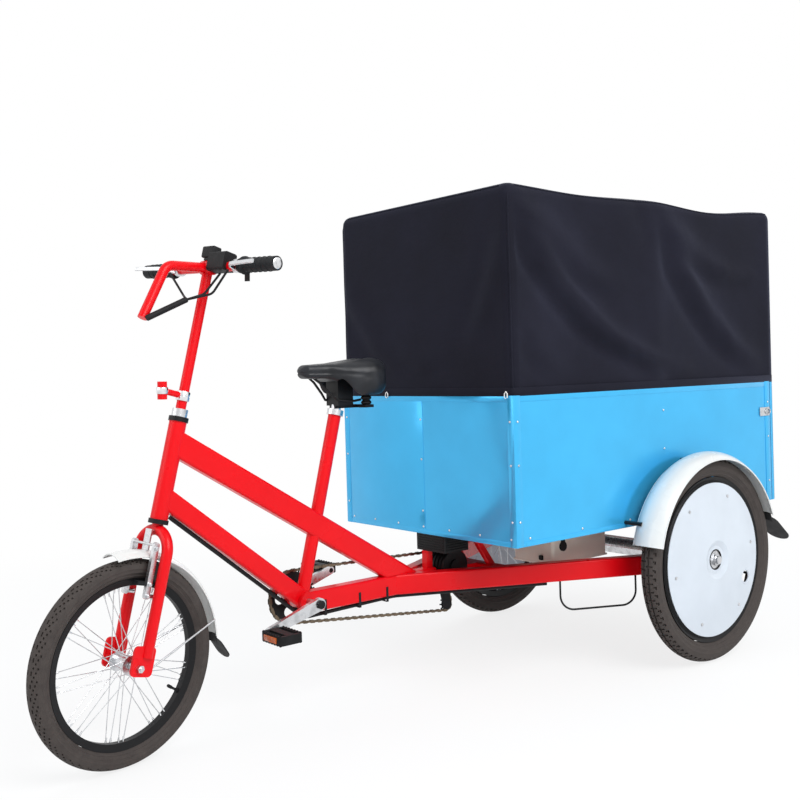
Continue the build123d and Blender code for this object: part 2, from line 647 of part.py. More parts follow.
nodes["hood_front"] = hood_slab(0, (BOX_FRONT_X - HOOD_THICK, BOX_FRONT_X))
skin_x = (BOX_REAR_X, BOX_FRONT_X - HOOD_THICK)
skin = hood_slab(0, skin_x) - hood_slab(HOOD_THICK, skin_x)
spring_line = HOOD_TOP_Z - HOOD_CORNER
nodes["hood_roof"] = skin & block(skin_x, (-BOX_HALF, BOX_HALF), (spring_line, HOOD_TOP_Z))
hood_walls = []
for sign in SIDES.values():
    y = sorted((0, sign * BOX_HALF))
    hood_walls.append(skin & block(skin_x, y, (BOX_TOP_Z, spring_line)))
nodes["hood_sides"] = Compound(hood_walls)


def hoop(x):
    """One bent tube standing on the side panels under the skin."""
    half = BOX_HALF - HOOD_THICK - HOOP_GAP - HOOP_OD / 2
    top = HOOD_TOP_Z - HOOD_THICK - HOOP_GAP - HOOP_OD / 2
    points = [(x, -half, BOX_TOP_Z), (x, -half, top), (x, half, top), (x, half, BOX_TOP_Z)]
    path = FilletPolyline(*points, radius=HOOD_CORNER)
    return sweep(Plane(origin=points[0], z_dir=(0, 0, 1)) * Circle(HOOP_OD / 2), path)


hoop_from = BOX_FRONT_X - HOOD_THICK - HOOP_GAP - HOOP_OD / 2
hoop_step = (BOX_LENGTH - HOOD_THICK - HOOP_OD - WALL) / (HOOP_COUNT - 1)
nodes["hood_hoops"] = Compound([hoop(hoop_from - index * hoop_step) for index in range(HOOP_COUNT)])


# Fenders: crowned strips turned about the wheel axles, with tails that flare off them
def fender_strip(radius, width, crown, start_angle, sweep_angle):
    """Crowned strip round a wheel, straight up being angle zero and the front positive."""
    half = width / 2
    low = radius - crown
    outer = ThreePointArc((low + FENDER_THICK, -half), (radius + FENDER_THICK, 0), (low + FENDER_THICK, half))
    inner = ThreePointArc((low, half), (radius, 0), (low, -half))
    section = make_face([outer, Line(outer @ 1, inner @ 0), inner, Line(inner @ 1, outer @ 0)])
    return Rot(0, start_angle - 90, 0) * revolve(section, Axis.Y, sweep_angle)


def fender_tail(radius, width, crown, back_angle, length):
    """Short crowned root that goes on from a fender's rear end, with a leaf that flares outwards."""
    narrow = width * TAIL_SHARE
    root_start = -back_angle - TAIL_ROOT_ANGLE
    root = fender_strip(radius, narrow, crown * TAIL_SHARE ** 2, root_start, TAIL_ROOT_ANGLE)
    turn = radians(back_angle + TAIL_ROOT_ANGLE / 2)
    start = Vector(-sin(turn), 0, cos(turn)) * (radius + FENDER_THICK / 2)
    tilt = turn - radians(TAIL_FLARE)
    run = Vector(-cos(tilt), 0, -sin(tilt))
    leaf_place = Plane(origin=start + run * length / 2, x_dir=run, z_dir=run.cross(Vector(0, 1, 0)))
    leaf = extrude(leaf_place * SlotOverall(length, narrow), TAIL_THICK / 2, both=True)
    behind = Rot(0, -back_angle, 0) * block((-2 * radius, 0), (-width, width), (0, 2 * radius))
    return root + (leaf & behind)


rear_fender_r = REAR_WHEEL_R + REAR_FENDER_GAP
rear_section = (rear_fender_r, REAR_FENDER_WIDTH, REAR_FENDER_CROWN)
fender_parts = []
tail_parts = []
bracket_parts = []
strap_place = Pos(0, 0, REAR_WHEEL_R) * Rot(0, STRAP_ANGLE, 0) * Pos(0, 0, rear_fender_r)
for sign in SIDES.values():
    centre = Pos(0, sign * TRACK / 2, REAR_WHEEL_R)
    strip = centre * fender_strip(*rear_section, -REAR_FENDER_BACK, REAR_FENDER_BACK + REAR_FENDER_AHEAD)
    fender_parts.append(strip)
    tail_parts.append(centre * fender_tail(*rear_section, REAR_FENDER_BACK, REAR_TAIL_LENGTH))
    inner_edge = TRACK / 2 - REAR_FENDER_WIDTH / 2
    reach = sorted((sign * BOX_HALF, sign * (inner_edge + BRACKET_LAP)))
    top = REAR_WHEEL_R + rear_fender_r - REAR_FENDER_CROWN + FENDER_THICK / 2
    bracket_parts.append(block((-BRACKET_HALF, BRACKET_HALF), reach, (top - BRACKET_THICK, top)) - strip)
    strap_length = inner_edge + STRAP_LAP - BOX_HALF
    strap = strap_place * along_y(STRAP_R, strap_length, sign * (BOX_HALF + strap_length / 2))
    bracket_parts.append((strap - strip).solids().sort_by(Axis.X)[-1])
nodes["rear_fenders"] = Compound(fender_parts)
nodes["rear_mud_flaps"] = Compound(tail_parts)
nodes["fender_brackets"] = Compound(bracket_parts)

# Saddle on its post, hollow below round the springs and the clamp
seat_head = SEAT_TOP + SEAT_UP * SEAT_POST_RISE
post_core = round_bar(BB + SEAT_UP * SEAT_TUBE_LENGTH * 0.7, seat_head, SEAT_POST_OD / 2)
seat_clamp = round_bar(SEAT_TOP - SEAT_UP * SEAT_CLAMP_HEIGHT, SEAT_TOP, SEAT_CLAMP_OD / 2, SEAT_TUBE_OD / 2)
nodes["seat_post"] = Compound([post_core, seat_clamp])
nose_x = seat_head.X + SADDLE_NOSE_AHEAD
skirt_z = seat_head.Z - SADDLE_SKIRT_DROP
side_view = []
for back, rise in SADDLE_SIDE_VIEW:
    side_view.append((nose_x - back * SADDLE_LENGTH, skirt_z + rise * SADDLE_HEIGHT))
side_face = Plane.XZ * make_face(FilletPolyline(*side_view, radius=SADDLE_EDGE, close=True))
rear_x = nose_x - SADDLE_LENGTH + SADDLE_REAR_R
rear_y = SADDLE_WIDTH / 2 - SADDLE_REAR_R
plan_rounds = [(nose_x - SADDLE_NOSE_R, 0, SADDLE_NOSE_R)]
plan_rounds += [(rear_x, sign * rear_y, SADDLE_REAR_R) for sign in SIDES.values()]
plan = Pos(0, 0, skirt_z) * extrude(rounded_hull(plan_rounds), SADDLE_HEIGHT)
saddle = extrude(side_face, SADDLE_WIDTH, both=True) & plan
hollow_z = seat_head.Z + SADDLE_HOLLOW_RISE
hollow_x = (nose_x - SADDLE_LENGTH + CLAMP_HALF, seat_head.X + 2 * CLAMP_HALF)
nodes["saddle"] = saddle - block(hollow_x, (-SADDLE_HOLLOW_HALF, SADDLE_HOLLOW_HALF), (0, hollow_z))
spring_x = seat_head.X - SPRING_BACK
spring_foot = seat_head.Z - SPRING_DROP
spring_height = hollow_z - spring_foot
frame_z = (spring_foot - CLAMP_THICK, spring_foot)
spring_span = (spring_x - SPRING_R, spring_x + SPRING_R)
saddle_frame = block((spring_x, seat_head.X + CLAMP_HALF), (-SEAT_POST_OD / 2, SEAT_POST_OD / 2), frame_z)
saddle_frame += block(spring_span, (-SPRING_Y - SPRING_R, SPRING_Y + SPRING_R), frame_z)
saddle_frame += block((seat_head.X - CLAMP_HALF, seat_head.X + CLAMP_HALF), (-SEAT_POST_OD, SEAT_POST_OD),
                      (spring_foot, hollow_z))
saddle_frame -= round_bar(BB, seat_head, SEAT_POST_OD / 2)
coil_step = spring_height / SPRING_TURNS
for sign in SIDES.values():
    coil = [(0, 0)]
    for turn in range(SPRING_TURNS):
        coil += [(SPRING_R - SPRING_WIRE, turn * coil_step), (SPRING_R, (turn + 0.3) * coil_step)]
        coil += [(SPRING_R, (turn + 0.6) * coil_step), (SPRING_R - SPRING_WIRE, (turn + 0.9) * coil_step)]
    coil += [(SPRING_R - SPRING_WIRE, spring_height), (0, spring_height)]
    saddle_frame += Pos(spring_x, sign * SPRING_Y, spring_foot) * Rot(90, 0, 0) * turned(coil)
nodes["saddle_frame"] = saddle_frame


# Wheels
def tyre(radius, rim_radius, width):
    """Hollow tyre casing on the Y axis, its beads on the rim."""
    half = width / 2
    bead = rim_radius + BEAD_RISE
    tall = radius - bead
    shares = ((0, 0.55), (0.58, 1), (0.93, 0.72), (1, 0.28))
    outer = [(bead + rise * tall, -half * out) for rise, out in shares]
    inner = [(bead, half * 0.55 - TYRE_WALL), (bead + 0.62 * tall, half - TYRE_WALL)]
    outer += [(r, -y) for r, y in reversed(outer)]
    inner += [(r, -y) for r, y in reversed(inner)]
    return turned(outer + inner)


def rim(radius, width):
    """Box-section rim under the beads."""
    half = width / 2
    lip = radius + BEAD_RISE - PLAY / 2
    well = radius - BEAD_RISE
    floor = (radius - RIM_DEPTH, -half * 0.6)
    points = [floor, (lip, -half), (lip, RIM_WALL - half), (well, 2 * RIM_WALL - half)]
    return turned(points + [(r, -y) for r, y in reversed(points)])


def hub(flange_y, barrel_r, flange_r, bore):
    """Barrel with two spoke flanges."""
    body = along_y(barrel_r, 2 * flange_y)
    for sign in SIDES.values():
        body += along_y(flange_r, FLANGE_THICK, sign * (flange_y - FLANGE_THICK / 2))
    return body - along_y(bore, 3 * flange_y)


def spokes(rim_radius, flange_y, flange_r):
    """Crossed wire spokes from the flanges to the rim floor."""
    inner_r = flange_r - 2 * SPOKE_R
    outer_r = rim_radius - RIM_DEPTH - SPOKE_GAP
    wires = []
    for index in range(SPOKE_COUNT):
        side = 1 if index % 2 else -1
        lean = SPOKE_LEAN if index % 4 < 2 else -SPOKE_LEAN
        angle = 360 * index / SPOKE_COUNT
        start = Vector(inner_r, side * (flange_y - FLANGE_THICK / 2), 0).rotate(Axis.Y, angle)
        end = Vector(outer_r, side * SPOKE_SPREAD, 0).rotate(Axis.Y, angle + lean)
        wires.append(round_bar(start, end, SPOKE_R))
    return wires


front_wheel = {
    "front_tyre": tyre(FRONT_WHEEL_R, FRONT_RIM_R, FRONT_TYRE_WIDTH),
    "front_rim": rim(FRONT_RIM_R, FRONT_RIM_WIDTH),
    "front_hub": hub(HUB_FLANGE_Y, HUB_BARREL_R, HUB_FLANGE_R, FRONT_AXLE_R + RUNNING_GAP)
    + spokes(FRONT_RIM_R, HUB_FLANGE_Y, HUB_FLANGE_R),
}
for name, solid in front_wheel.items():
    steered[name] = FRONT_AXLE * solid

disc_r = REAR_RIM_R - RIM_DEPTH
slope_r = COVER_WELL_R + COVER_SLOPE
dish_y = REAR_HUB_Y + COVER_RISE
cover_points = [(COVER_HOLE_R, REAR_HUB_Y), (COVER_WELL_R, REAR_HUB_Y)]
cover_points += [(slope_r, dish_y), (disc_r, COVER_EDGE_Y)]
cover_points += [(r, y + COVER_THICK) for r, y in reversed(cover_points)]
valve_turn = radians(VALVE_HOLE_ANGLE)
valve_spot = Pos(VALVE_HOLE_OUT * cos(valve_turn), 0, VALVE_HOLE_OUT * sin(valve_turn))
nut_y = REAR_HUB_Y + HUB_NUT_LENGTH / 2
shaft_end = TRACK / 2 + REAR_HUB_Y + HUB_NUT_LENGTH + AXLE_TIP_LENGTH
for side, sign in SIDES.items():
    place = Pos(0, sign * TRACK / 2, REAR_WHEEL_R)
    nodes[f"rear_tyre_{side}"] = place * tyre(REAR_WHEEL_R, REAR_RIM_R, REAR_TYRE_WIDTH)
    nodes[f"rear_rim_{side}"] = place * rim(REAR_RIM_R, REAR_RIM_WIDTH)
    shaft = along_y(AXLE_R, shaft_end - AXLE_INNER_Y, sign * (shaft_end + AXLE_INNER_Y) / 2)
    wheel_hub = hub(REAR_HUB_Y, REAR_BARREL_R, REAR_FLANGE_R, AXLE_R / 2)
    wheel_hub += spokes(REAR_RIM_R, REAR_HUB_Y, REAR_FLANGE_R)
    wheel_hub += Pos(0, sign * nut_y, 0) * hexagon(HUB_NUT_R, HUB_NUT_LENGTH)
    nodes[f"rear_hub_{side}"] = place * wheel_hub + rear_axle * shaft
    cover = turned([(r, sign * y) for r, y in cover_points]) - valve_spot * along_y(VALVE_HOLE_R, TRACK)
    nodes[f"wheel_cover_{side}"] = place * cover

# Steering assembly, built straight ahead in the steering frame
crown_z = CROWN_SEAT - FORK_LEG_OD / 2
upright = (Align.CENTER, Align.CENTER, Align.MIN)
arch_points = [(0, -FORK_LEG_Y, LEG_FOOT), (0, -FORK_LEG_Y, crown_z)]
arch_points += [(0, -y, z) for _, y, z in reversed(arch_points)]
arch_path = FilletPolyline(*arch_points, radius=FORK_LEG_Y - RIM_WALL)
arch = sweep(Plane(origin=arch_points[0], z_dir=(0, 0, 1)) * Circle(FORK_LEG_OD / 2), arch_path)
fork = arch + Pos(0, 0, crown_z) * Cylinder(STEERER_OD / 2, STACK_TOP - crown_z, align=upright)
dropout_size = (DROPOUT_WIDTH + FORK_OFFSET, 2 * LEG_FOOT + DROPOUT_DROP)
dropout_place = Pos(FORK_OFFSET / 2, 0, LEG_FOOT - DROPOUT_DROP / 2) * Rot(90, 0, 0)
axle_slot = FRONT_AXLE * along_y(FRONT_AXLE_R, 4 * FORK_LEG_Y)
dropout = dropout_place * extrude(RectangleRounded(*dropout_size, DROPOUT_EDGE), DROPOUT_THICK / 2, both=True)
outside = FORK_LEG_Y + DROPOUT_THICK / 2
inside = FORK_LEG_Y - DROPOUT_THICK / 2
spacer = inside - HUB_FLANGE_Y - 2 * PLAY
axle_rod = along_y(FRONT_AXLE_R, 2 * (outside + 1.5 * AXLE_NUT_LENGTH))
for sign in SIDES.values():
    fork += Pos(0, sign * FORK_LEG_Y, 0) * dropout - axle_slot
    axle_rod += Pos(0, sign * (outside + AXLE_NUT_LENGTH / 2), 0) * hexagon(FRONT_AXLE_NUT_R, AXLE_NUT_LENGTH)
    axle_rod += along_y(AXLE_SPACER_R, spacer, sign * (inside - spacer / 2))
steered["fork"] = fork
steered["front_axle"] = FRONT_AXLE * axle_rod

locknut = Cylinder(LOCKNUT_OD / 2, LOCKNUT_HEIGHT - PLAY, align=upright)
locknut -= Cylinder(STEERER_OD / 2, LOCKNUT_HEIGHT, align=upright)
steered["headset_nut"] = Pos(0, 0, HEAD_TOP + CUP_HEIGHT + PLAY) * locknut
bar_line = Pos(0, 0, BAR_HEIGHT)
bar_core = bar_line * along_y(BAR_OD / 2, 2 * BAR_HALF)
stem = Pos(0, 0, STACK_TOP) * Cylinder(POST_OD / 2, BAR_HEIGHT - STACK_TOP, align=upright) + bar_core
carrier_points = [(0, 0, BAR_HEIGHT), (CARRIER_REACH, 0, BAR_HEIGHT - CARRIER_REACH * tan(radians(STEER_TILT)))]
foot = (CARRIER_REACH + CARRIER_DROP * sin(radians(STEER_TILT)), 0,
        carrier_points[1][2] - CARRIER_DROP * cos(radians(STEER_TILT)))
carrier_path = FilletPolyline(*carrier_points, foot, radius=CARRIER_BEND)
carrier_start = Plane(origin=carrier_points[0], z_dir=Vector(*carrier_points[1]) - Vector(*carrier_points[0]))
carrier = sweep(carrier_start * Circle(BAR_OD / 2), carrier_path)
lug_arm = Pos(0, 0, LUG_HEIGHT) * Rot(0, 90, 0) * Cylinder(LUG_ARM_OD / 2, LUG_REACH, align=upright)
lug_peg = Pos(LUG_REACH, 0, LUG_HEIGHT) * Rot(0, STEER_TILT, 0) * Cylinder(LUG_OD / 2, LUG_PEG_LENGTH)
steered["handlebar"] = stem + carrier + lug_arm + lug_peg

fender_r = FRONT_WHEEL_R + FRONT_FENDER_GAP
front_strip = fender_strip(fender_r, FRONT_FENDER_WIDTH, FRONT_FENDER_CROWN, -FRONT_FENDER_BACK,
                           FRONT_FENDER_BACK + FRONT_FENDER_AHEAD)
steered["front_fender"] = FRONT_AXLE * front_strip
front_tail = fender_tail(fender_r, FRONT_FENDER_WIDTH, FRONT_FENDER_CROWN, FRONT_FENDER_BACK, FRONT_TAIL_LENGTH)
steered["front_mud_flap"] = FRONT_AXLE * front_tail

# Controls on the bar: ringed grips, levers with bent blades, a thumb throttle and the display
grip_start = BAR_HALF - GRIP_LENGTH
flange_out = GRIP_FLANGE_OD / 2
grip_outline = [(BAR_OD / 2, 0), (flange_out, 0), (flange_out, GRIP_FLANGE), (GRIP_OD / 2, 2 * GRIP_FLANGE)]
ring_at = 2 * GRIP_FLANGE + GRIP_RING_STEP / 2
while ring_at < GRIP_LENGTH - GRIP_RING_STEP:
    ring_out = GRIP_OD / 2 + GRIP_RING_RISE
    grip_outline += [(GRIP_OD / 2, ring_at), (ring_out, ring_at + GRIP_RING_RISE)]
    grip_outline += [(ring_out, ring_at + 2 * GRIP_RING_RISE), (GRIP_OD / 2, ring_at + 3 * GRIP_RING_RISE)]
    ring_at += GRIP_RING_STEP
grip_outline += [(GRIP_OD / 2, GRIP_LENGTH), (BAR_OD / 2, GRIP_LENGTH)]
grip_shapes = []
levers = []
collar_y = grip_start - LEVER_CLAMP
blade_z = BAR_HEIGHT - LEVER_DEPTH
for sign in SIDES.values():
    grip_shapes.append(bar_line * turned([(r, sign * (grip_start + y)) for r, y in grip_outline]))
    collar = bar_line * along_y(BAR_OD / 2 + LEVER_WALL, LEVER_COLLAR, sign * collar_y)
    points = [(0, sign * collar_y, blade_z), (LEVER_REACH, sign * (collar_y + LEVER_COLLAR), blade_z),
              (LEVER_REACH + LEVER_SPLAY, sign * (BAR_HALF - LEVER_CLAMP), blade_z)]
    lever_start = Plane(origin=points[0], x_dir=(0, 0, 1), z_dir=Vector(*points[1]) - Vector(*points[0]))
    blade_path = FilletPolyline(*points, radius=LEVER_BEND)
    blade = sweep(lever_start * RectangleRounded(LEVER_DEPTH, LEVER_THICK, LEVER_THICK / 3), blade_path)
    levers.append(collar + blade - bar_core)
steered["grips"] = Compound(grip_shapes)
steered["brake_levers"] = Compound(levers)
display_y = (DISPLAY_Y - DISPLAY_WIDTH / 2, DISPLAY_Y + DISPLAY_WIDTH / 2)
display_x = (DISPLAY_EDGE / 2 - DISPLAY_DEPTH / 2, DISPLAY_EDGE / 2 + DISPLAY_DEPTH / 2)
display_low = BAR_HEIGHT - BAR_OD / 2 - PLAY
display = block(display_x, display_y, (display_low, display_low + DISPLAY_HEIGHT))
display = fillet(display.edges().filter_by(Axis.Y), DISPLAY_EDGE) - bar_core
throttle_y = grip_start - THROTTLE_LENGTH / 2
throttle = bar_line * along_y(THROTTLE_OD / 2, THROTTLE_LENGTH, throttle_y)
paddle = Pos(-THROTTLE_OD / 2, throttle_y, BAR_HEIGHT - THROTTLE_PADDLE / 2) * Rot(0, STEER_TILT, 0) * Box(
    LEVER_THICK, THROTTLE_LENGTH, THROTTLE_PADDLE)
steered["bar_display"] = Compound([display, throttle + paddle - bar_core])

# Cables from the levers and the display, gathered in a sleeve beside the hook tube
sleeve_y = BAR_OD / 2 + BAR_SLEEVE_OD / 2 + PLAY
sleeve_top = Vector(carrier_points[1][0] / 2, sleeve_y, foot[2] + CARRIER_DROP / 2)
sleeve_foot = Vector(foot[0], sleeve_y, foot[2])
sleeve = round_bar(sleeve_top, sleeve_foot, BAR_SLEEVE_OD / 2)
cable_heads = [Vector(LEVER_REACH / 2 + BAR_CABLE_OD, sign * collar_y, blade_z) for sign in SIDES.values()]
cable_heads = [head - Vector(0, 0, LEVER_DEPTH / 2 + BAR_CABLE_OD / 2 + PLAY) for head in cable_heads]
cable_heads.append(Vector(0, DISPLAY_Y, display_low - PLAY - BAR_CABLE_OD / 2))
loom = sleeve
for head in cable_heads:
    dip = Vector(BAR_OD, head.Y / 2 + sleeve_y / 2, sleeve_top.Z + BAR_OD)
    run = FilletPolyline(head, dip, sleeve_top, radius=BAR_OD)
    loom += sweep(Plane(origin=head, z_dir=dip - head) * Circle(BAR_CABLE_OD / 2), run)
steered["bar_cables"] = loom

# Front brake and fender stays
arms = []
pads = []
stays = []
pad_inner = FRONT_RIM_WIDTH / 2 + PAD_GAP
pad_z = sqrt((FRONT_RIM_R - RIM_DEPTH / 2) ** 2 - (BRAKE_X - FORK_OFFSET) ** 2)
noodle_x = BRIDGE_X + 2 * BRAKE_CABLE_R
stay_end = FRONT_AXLE * Rot(0, -STAY_ANGLE, 0) * Pos(0, 0, fender_r - FRONT_FENDER_CROWN)
for sign in SIDES.values():
    arm_y = sign * (PAD_OUTER_Y + BRAKE_ARM_THICK / 2)
    arm_slot = SlotOverall(BRAKE_TOP_Z - BRAKE_BOSS_Z + BRAKE_ARM_WIDTH, BRAKE_ARM_WIDTH, rotation=90)
    arm_place = Pos(BRAKE_X, arm_y, (BRAKE_TOP_Z + BRAKE_BOSS_Z) / 2) * Rot(90, 0, 0)
    boss = Rot(0, -90, 0) * Cylinder(BRAKE_ARM_THICK / 2, BRAKE_X, align=upright)
    arm = arm_place * extrude(arm_slot, BRAKE_ARM_THICK / 2, both=True)
    arms.append(arm + Pos(BRAKE_X, arm_y, BRAKE_BOSS_Z) * boss - fork)
    pad_y = sorted((sign * pad_inner, sign * PAD_OUTER_Y))
    pad_x = (BRAKE_X - PAD_LENGTH / 2, BRAKE_X + PAD_LENGTH / 2)
    pads.append(block(pad_x, pad_y, (pad_z - PAD_HEIGHT / 2, pad_z + PAD_HEIGHT / 2)))
    foot_point = Vector(-DROPOUT_WIDTH / 2 + STAY_R, sign * FORK_LEG_Y, 0)
    tip_point = stay_end.position + Vector(0, sign * (FRONT_FENDER_WIDTH / 2 + STAY_R), 0)
    stays.append(round_bar(foot_point, tip_point, STAY_R) - fork)
noodle = Pos(noodle_x, 0, BRAKE_TOP_Z) * along_y(BRAKE_CABLE_R, 2 * PAD_OUTER_Y + BRAKE_ARM_THICK)
steered["front_brake"] = arms[0] + arms[1] + noodle
steered["brake_pads"] = Compound(pads)
bridge_y = (-BRIDGE_WIDTH / 2, BRIDGE_WIDTH / 2)
bridge_z = sqrt((fender_r + FENDER_THICK) ** 2 - (FORK_OFFSET - BRIDGE_X) ** 2)
bridge = block((BRIDGE_X - BRIDGE_THICK, BRIDGE_X), bridge_y, (bridge_z, crown_z))
bridge += block((0, BRIDGE_X), bridge_y, (crown_z - BRIDGE_THICK, crown_z))
steered["fender_stays"] = Compound(stays + [bridge - fork - steered["front_fender"]])

# Cable bundle clipped under the down tube, the beam and the left rail, and a slack loop under the rail
tube_run = (BB - on_axis(DOWN_TUBE_JOIN)).normalized()
tube_under = Vector(-tube_run.Z, 0, tube_run.X)
cable_drop = DOWN_TUBE_DEPTH / 2 + CABLE_OD / 2 + PLAY
cable_top = on_axis(DOWN_TUBE_JOIN) + tube_run * CABLE_START + tube_under * cable_drop
under_z = RAIL_Z - RAIL_DEPTH / 2 - CABLE_OD / 2 - PLAY
fall = (cable_top.Z - under_z) / -tube_run.Z
cable_knee = cable_top + tube_run * fall + Vector(0, 0, -CABLE_SAG)
cable_end = Vector(CABLE_END_X, rail_y(CABLE_END_X), under_z)
cable_points = [cable_top, cable_knee, Vector(FORK_POINT_X, 0, under_z), cable_end]
cable_path = FilletPolyline(*cable_points, radius=CABLE_BEND)
bundle = sweep(Plane(origin=cable_top, z_dir=tube_run) * Circle(CABLE_OD / 2), cable_path)
loop_x = (LOOP_FRONT_X, LOOP_FRONT_X - LOOP_LENGTH)
loop_z = RAIL_Z - RAIL_DEPTH / 2 - PLAY
loop_points = [Vector(x, rail_y(x), z) for x, z in ((loop_x[0], loop_z), (loop_x[0], loop_z - LOOP_DROP),
                                                    (loop_x[1], loop_z - LOOP_DROP), (loop_x[1], loop_z))]
loop_path = FilletPolyline(*loop_points, radius=LOOP_BEND)
slack = sweep(Plane(origin=loop_points[0], z_dir=(0, 0, -1)) * Circle(LOOP_OD / 2), loop_path)
nodes["frame_cables"] = Compound([bundle, slack])

# Cranks and pedals
crank_turn = Pos(BB) * Rot(0, CRANK_DROP_ANGLE, 0)
crank_face = rounded_hull(((0, 0, CRANK_HUB_R), (CRANK_LENGTH, 0, CRANK_TIP_R)))
crank_arm = Rot(90, 0, 0) * extrude(crank_face, CRANK_THICK / 2, both=True)
cranks = along_y(SPINDLE_R, 2 * CRANK_Y + CRANK_THICK + CRANK_CAP)
for sign in SIDES.values():
    cranks += Pos(0, sign * CRANK_Y, 0) * Rot(0, 0 if sign > 0 else 180, 0) * crank_arm
    cranks -= Pos(sign * CRANK_LENGTH, sign * CRANK_Y, 0) * along_y(PEDAL_R + RUNNING_GAP, 2 * CRANK_THICK)
nodes["cranks"] = crank_turn * cranks
window = Pos(RING_WINDOW_OUT, 0, 0) * Cylinder(RING_WINDOW_R, CHAIN_PITCH)
windows = Rot(90, 0, 0) * Compound(PolarLocations(0, RING_WINDOWS) * window)
nodes["chainring"] = ring_place * (toothed_disc(RING_TEETH, SPROCKET_THICK, SPINDLE_R) - windows)
pedal_from = CRANK_Y + CRANK_THICK / 2 + PEDAL_GAP
pedal_to = pedal_from + PEDAL_LENGTH
pin_from = CRANK_Y - CRANK_THICK / 2
for side, sign in SIDES.items():
    pin = along_y(PEDAL_R, pedal_to - pin_from, sign * (pedal_to + pin_from) / 2)
    body_y = sorted((sign * pedal_from, sign * pedal_to))
    hole_y = (body_y[0] + PEDAL_RAIL, body_y[1] - PEDAL_RAIL)
    cage = block((-PEDAL_DEPTH / 2, PEDAL_DEPTH / 2), body_y, (-PEDAL_HEIGHT / 2, PEDAL_HEIGHT / 2))
    cage = fillet(cage.edges().filter_by(Axis.Z), PEDAL_RAIL)
    for half in SIDES.values():
        hole_x = sorted((half * PEDAL_CORE / 2, half * (PEDAL_DEPTH / 2 - PEDAL_RAIL)))
        cage -= block(hole_x, hole_y, (-PEDAL_HEIGHT, PEDAL_HEIGHT))
    spot = crank_turn * Pos(sign * CRANK_LENGTH, 0, 0)
    nodes[f"pedal_{side}"] = Pos(spot.position) * (cage + pin)

for name, solid in steered.items():
    nodes[name] = STEER_FRAME * solid

box = Compound([solid for solid in nodes.values()]).bounding_box()
shift = Pos(-(box.min.X + box.max.X) / 2, 0, -box.min.Z)
print("rear axle at X", shift.position.X, "box", box.min, box.max)
os.makedirs("parts", exist_ok=True)
for name, solid in nodes.items():
    export_step(shift * solid, f"parts/{name}.step")
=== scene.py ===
"""Looks of an electric cargo tricycle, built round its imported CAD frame."""

import json
import logging
import math
from dataclasses import dataclass
from enum import Enum
from typing import Callable, Iterable, Sequence, Union

import bmesh
import bpy
import numpy as np
from mathutils import Matrix, Vector


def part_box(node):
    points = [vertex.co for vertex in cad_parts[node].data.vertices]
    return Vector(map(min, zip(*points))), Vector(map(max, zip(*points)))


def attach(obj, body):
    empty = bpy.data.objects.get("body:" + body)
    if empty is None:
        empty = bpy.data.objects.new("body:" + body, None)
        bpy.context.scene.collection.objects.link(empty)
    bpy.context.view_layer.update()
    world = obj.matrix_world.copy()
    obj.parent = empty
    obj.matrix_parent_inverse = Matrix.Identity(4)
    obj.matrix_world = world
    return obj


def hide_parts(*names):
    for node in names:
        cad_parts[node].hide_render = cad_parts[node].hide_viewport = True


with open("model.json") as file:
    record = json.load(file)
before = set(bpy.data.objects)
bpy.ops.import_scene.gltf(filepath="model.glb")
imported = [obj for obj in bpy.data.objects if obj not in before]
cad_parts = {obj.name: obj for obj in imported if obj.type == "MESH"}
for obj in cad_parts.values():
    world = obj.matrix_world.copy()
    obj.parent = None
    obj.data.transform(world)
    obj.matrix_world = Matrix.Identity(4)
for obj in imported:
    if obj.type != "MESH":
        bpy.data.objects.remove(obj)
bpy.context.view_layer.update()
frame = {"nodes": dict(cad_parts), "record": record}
NODES: dict[str, bpy.types.Object] = frame["nodes"]
LOG = logging.getLogger("cargo_tricycle")
Colour = tuple[float, float, float]
Block = tuple[Sequence[float], Sequence[float], float]
Line = tuple[tuple[float, float], ...]
LEFT, RIGHT = 1, -1
FORK_OFFSET = 0.018
FRONT_RIM = 0.204
REAR_RIM = 0.254


class Value:
    """A shader socket that takes part in Python arithmetic."""

    def __init__(self, graph: "Graph", socket: bpy.types.NodeSocket) -> None:
        """Keep the graph and its output socket.

        Args:
            graph: node tree that holds it.
            socket: output socket.
        """
        self.graph = graph
        self.socket = socket

    def _math(self, operation: str, first: "Input", second: "Input") -> "Value":
        """Add one Math node and return its result.

        Args:
            operation: Blender's name of the sum.
            first: first value.
            second: second value.

        Returns:
            The node's result.
        """
        return self.graph.node("ShaderNodeMath", {"operation": operation}, {0: first, 1: second})

    def __add__(self, other: "Input") -> "Value":
        """Sum."""
        return self._math("ADD", self, other)

    __radd__ = __add__

    def __sub__(self, other: "Input") -> "Value":
        """Difference."""
        return self._math("SUBTRACT", self, other)

    def __rsub__(self, other: "Input") -> "Value":
        """Difference, reflected."""
        return self._math("SUBTRACT", other, self)

    def __mul__(self, other: "Input") -> "Value":
        """Product."""
        return self._math("MULTIPLY", self, other)

    __rmul__ = __mul__

    def __truediv__(self, other: "Input") -> "Value":
        """Quotient."""
        return self._math("DIVIDE", self, other)

    def __rtruediv__(self, other: "Input") -> "Value":
        """Quotient, reflected."""
        return self._math("DIVIDE", other, self)

    def __pow__(self, other: "Input") -> "Value":
        """Power."""
        return self._math("POWER", self, other)

    def sine(self) -> "Value":
        """Sine of this value."""
        return self._math("SINE", self, 0.0)


Input = Union[float, Sequence[float], Value]


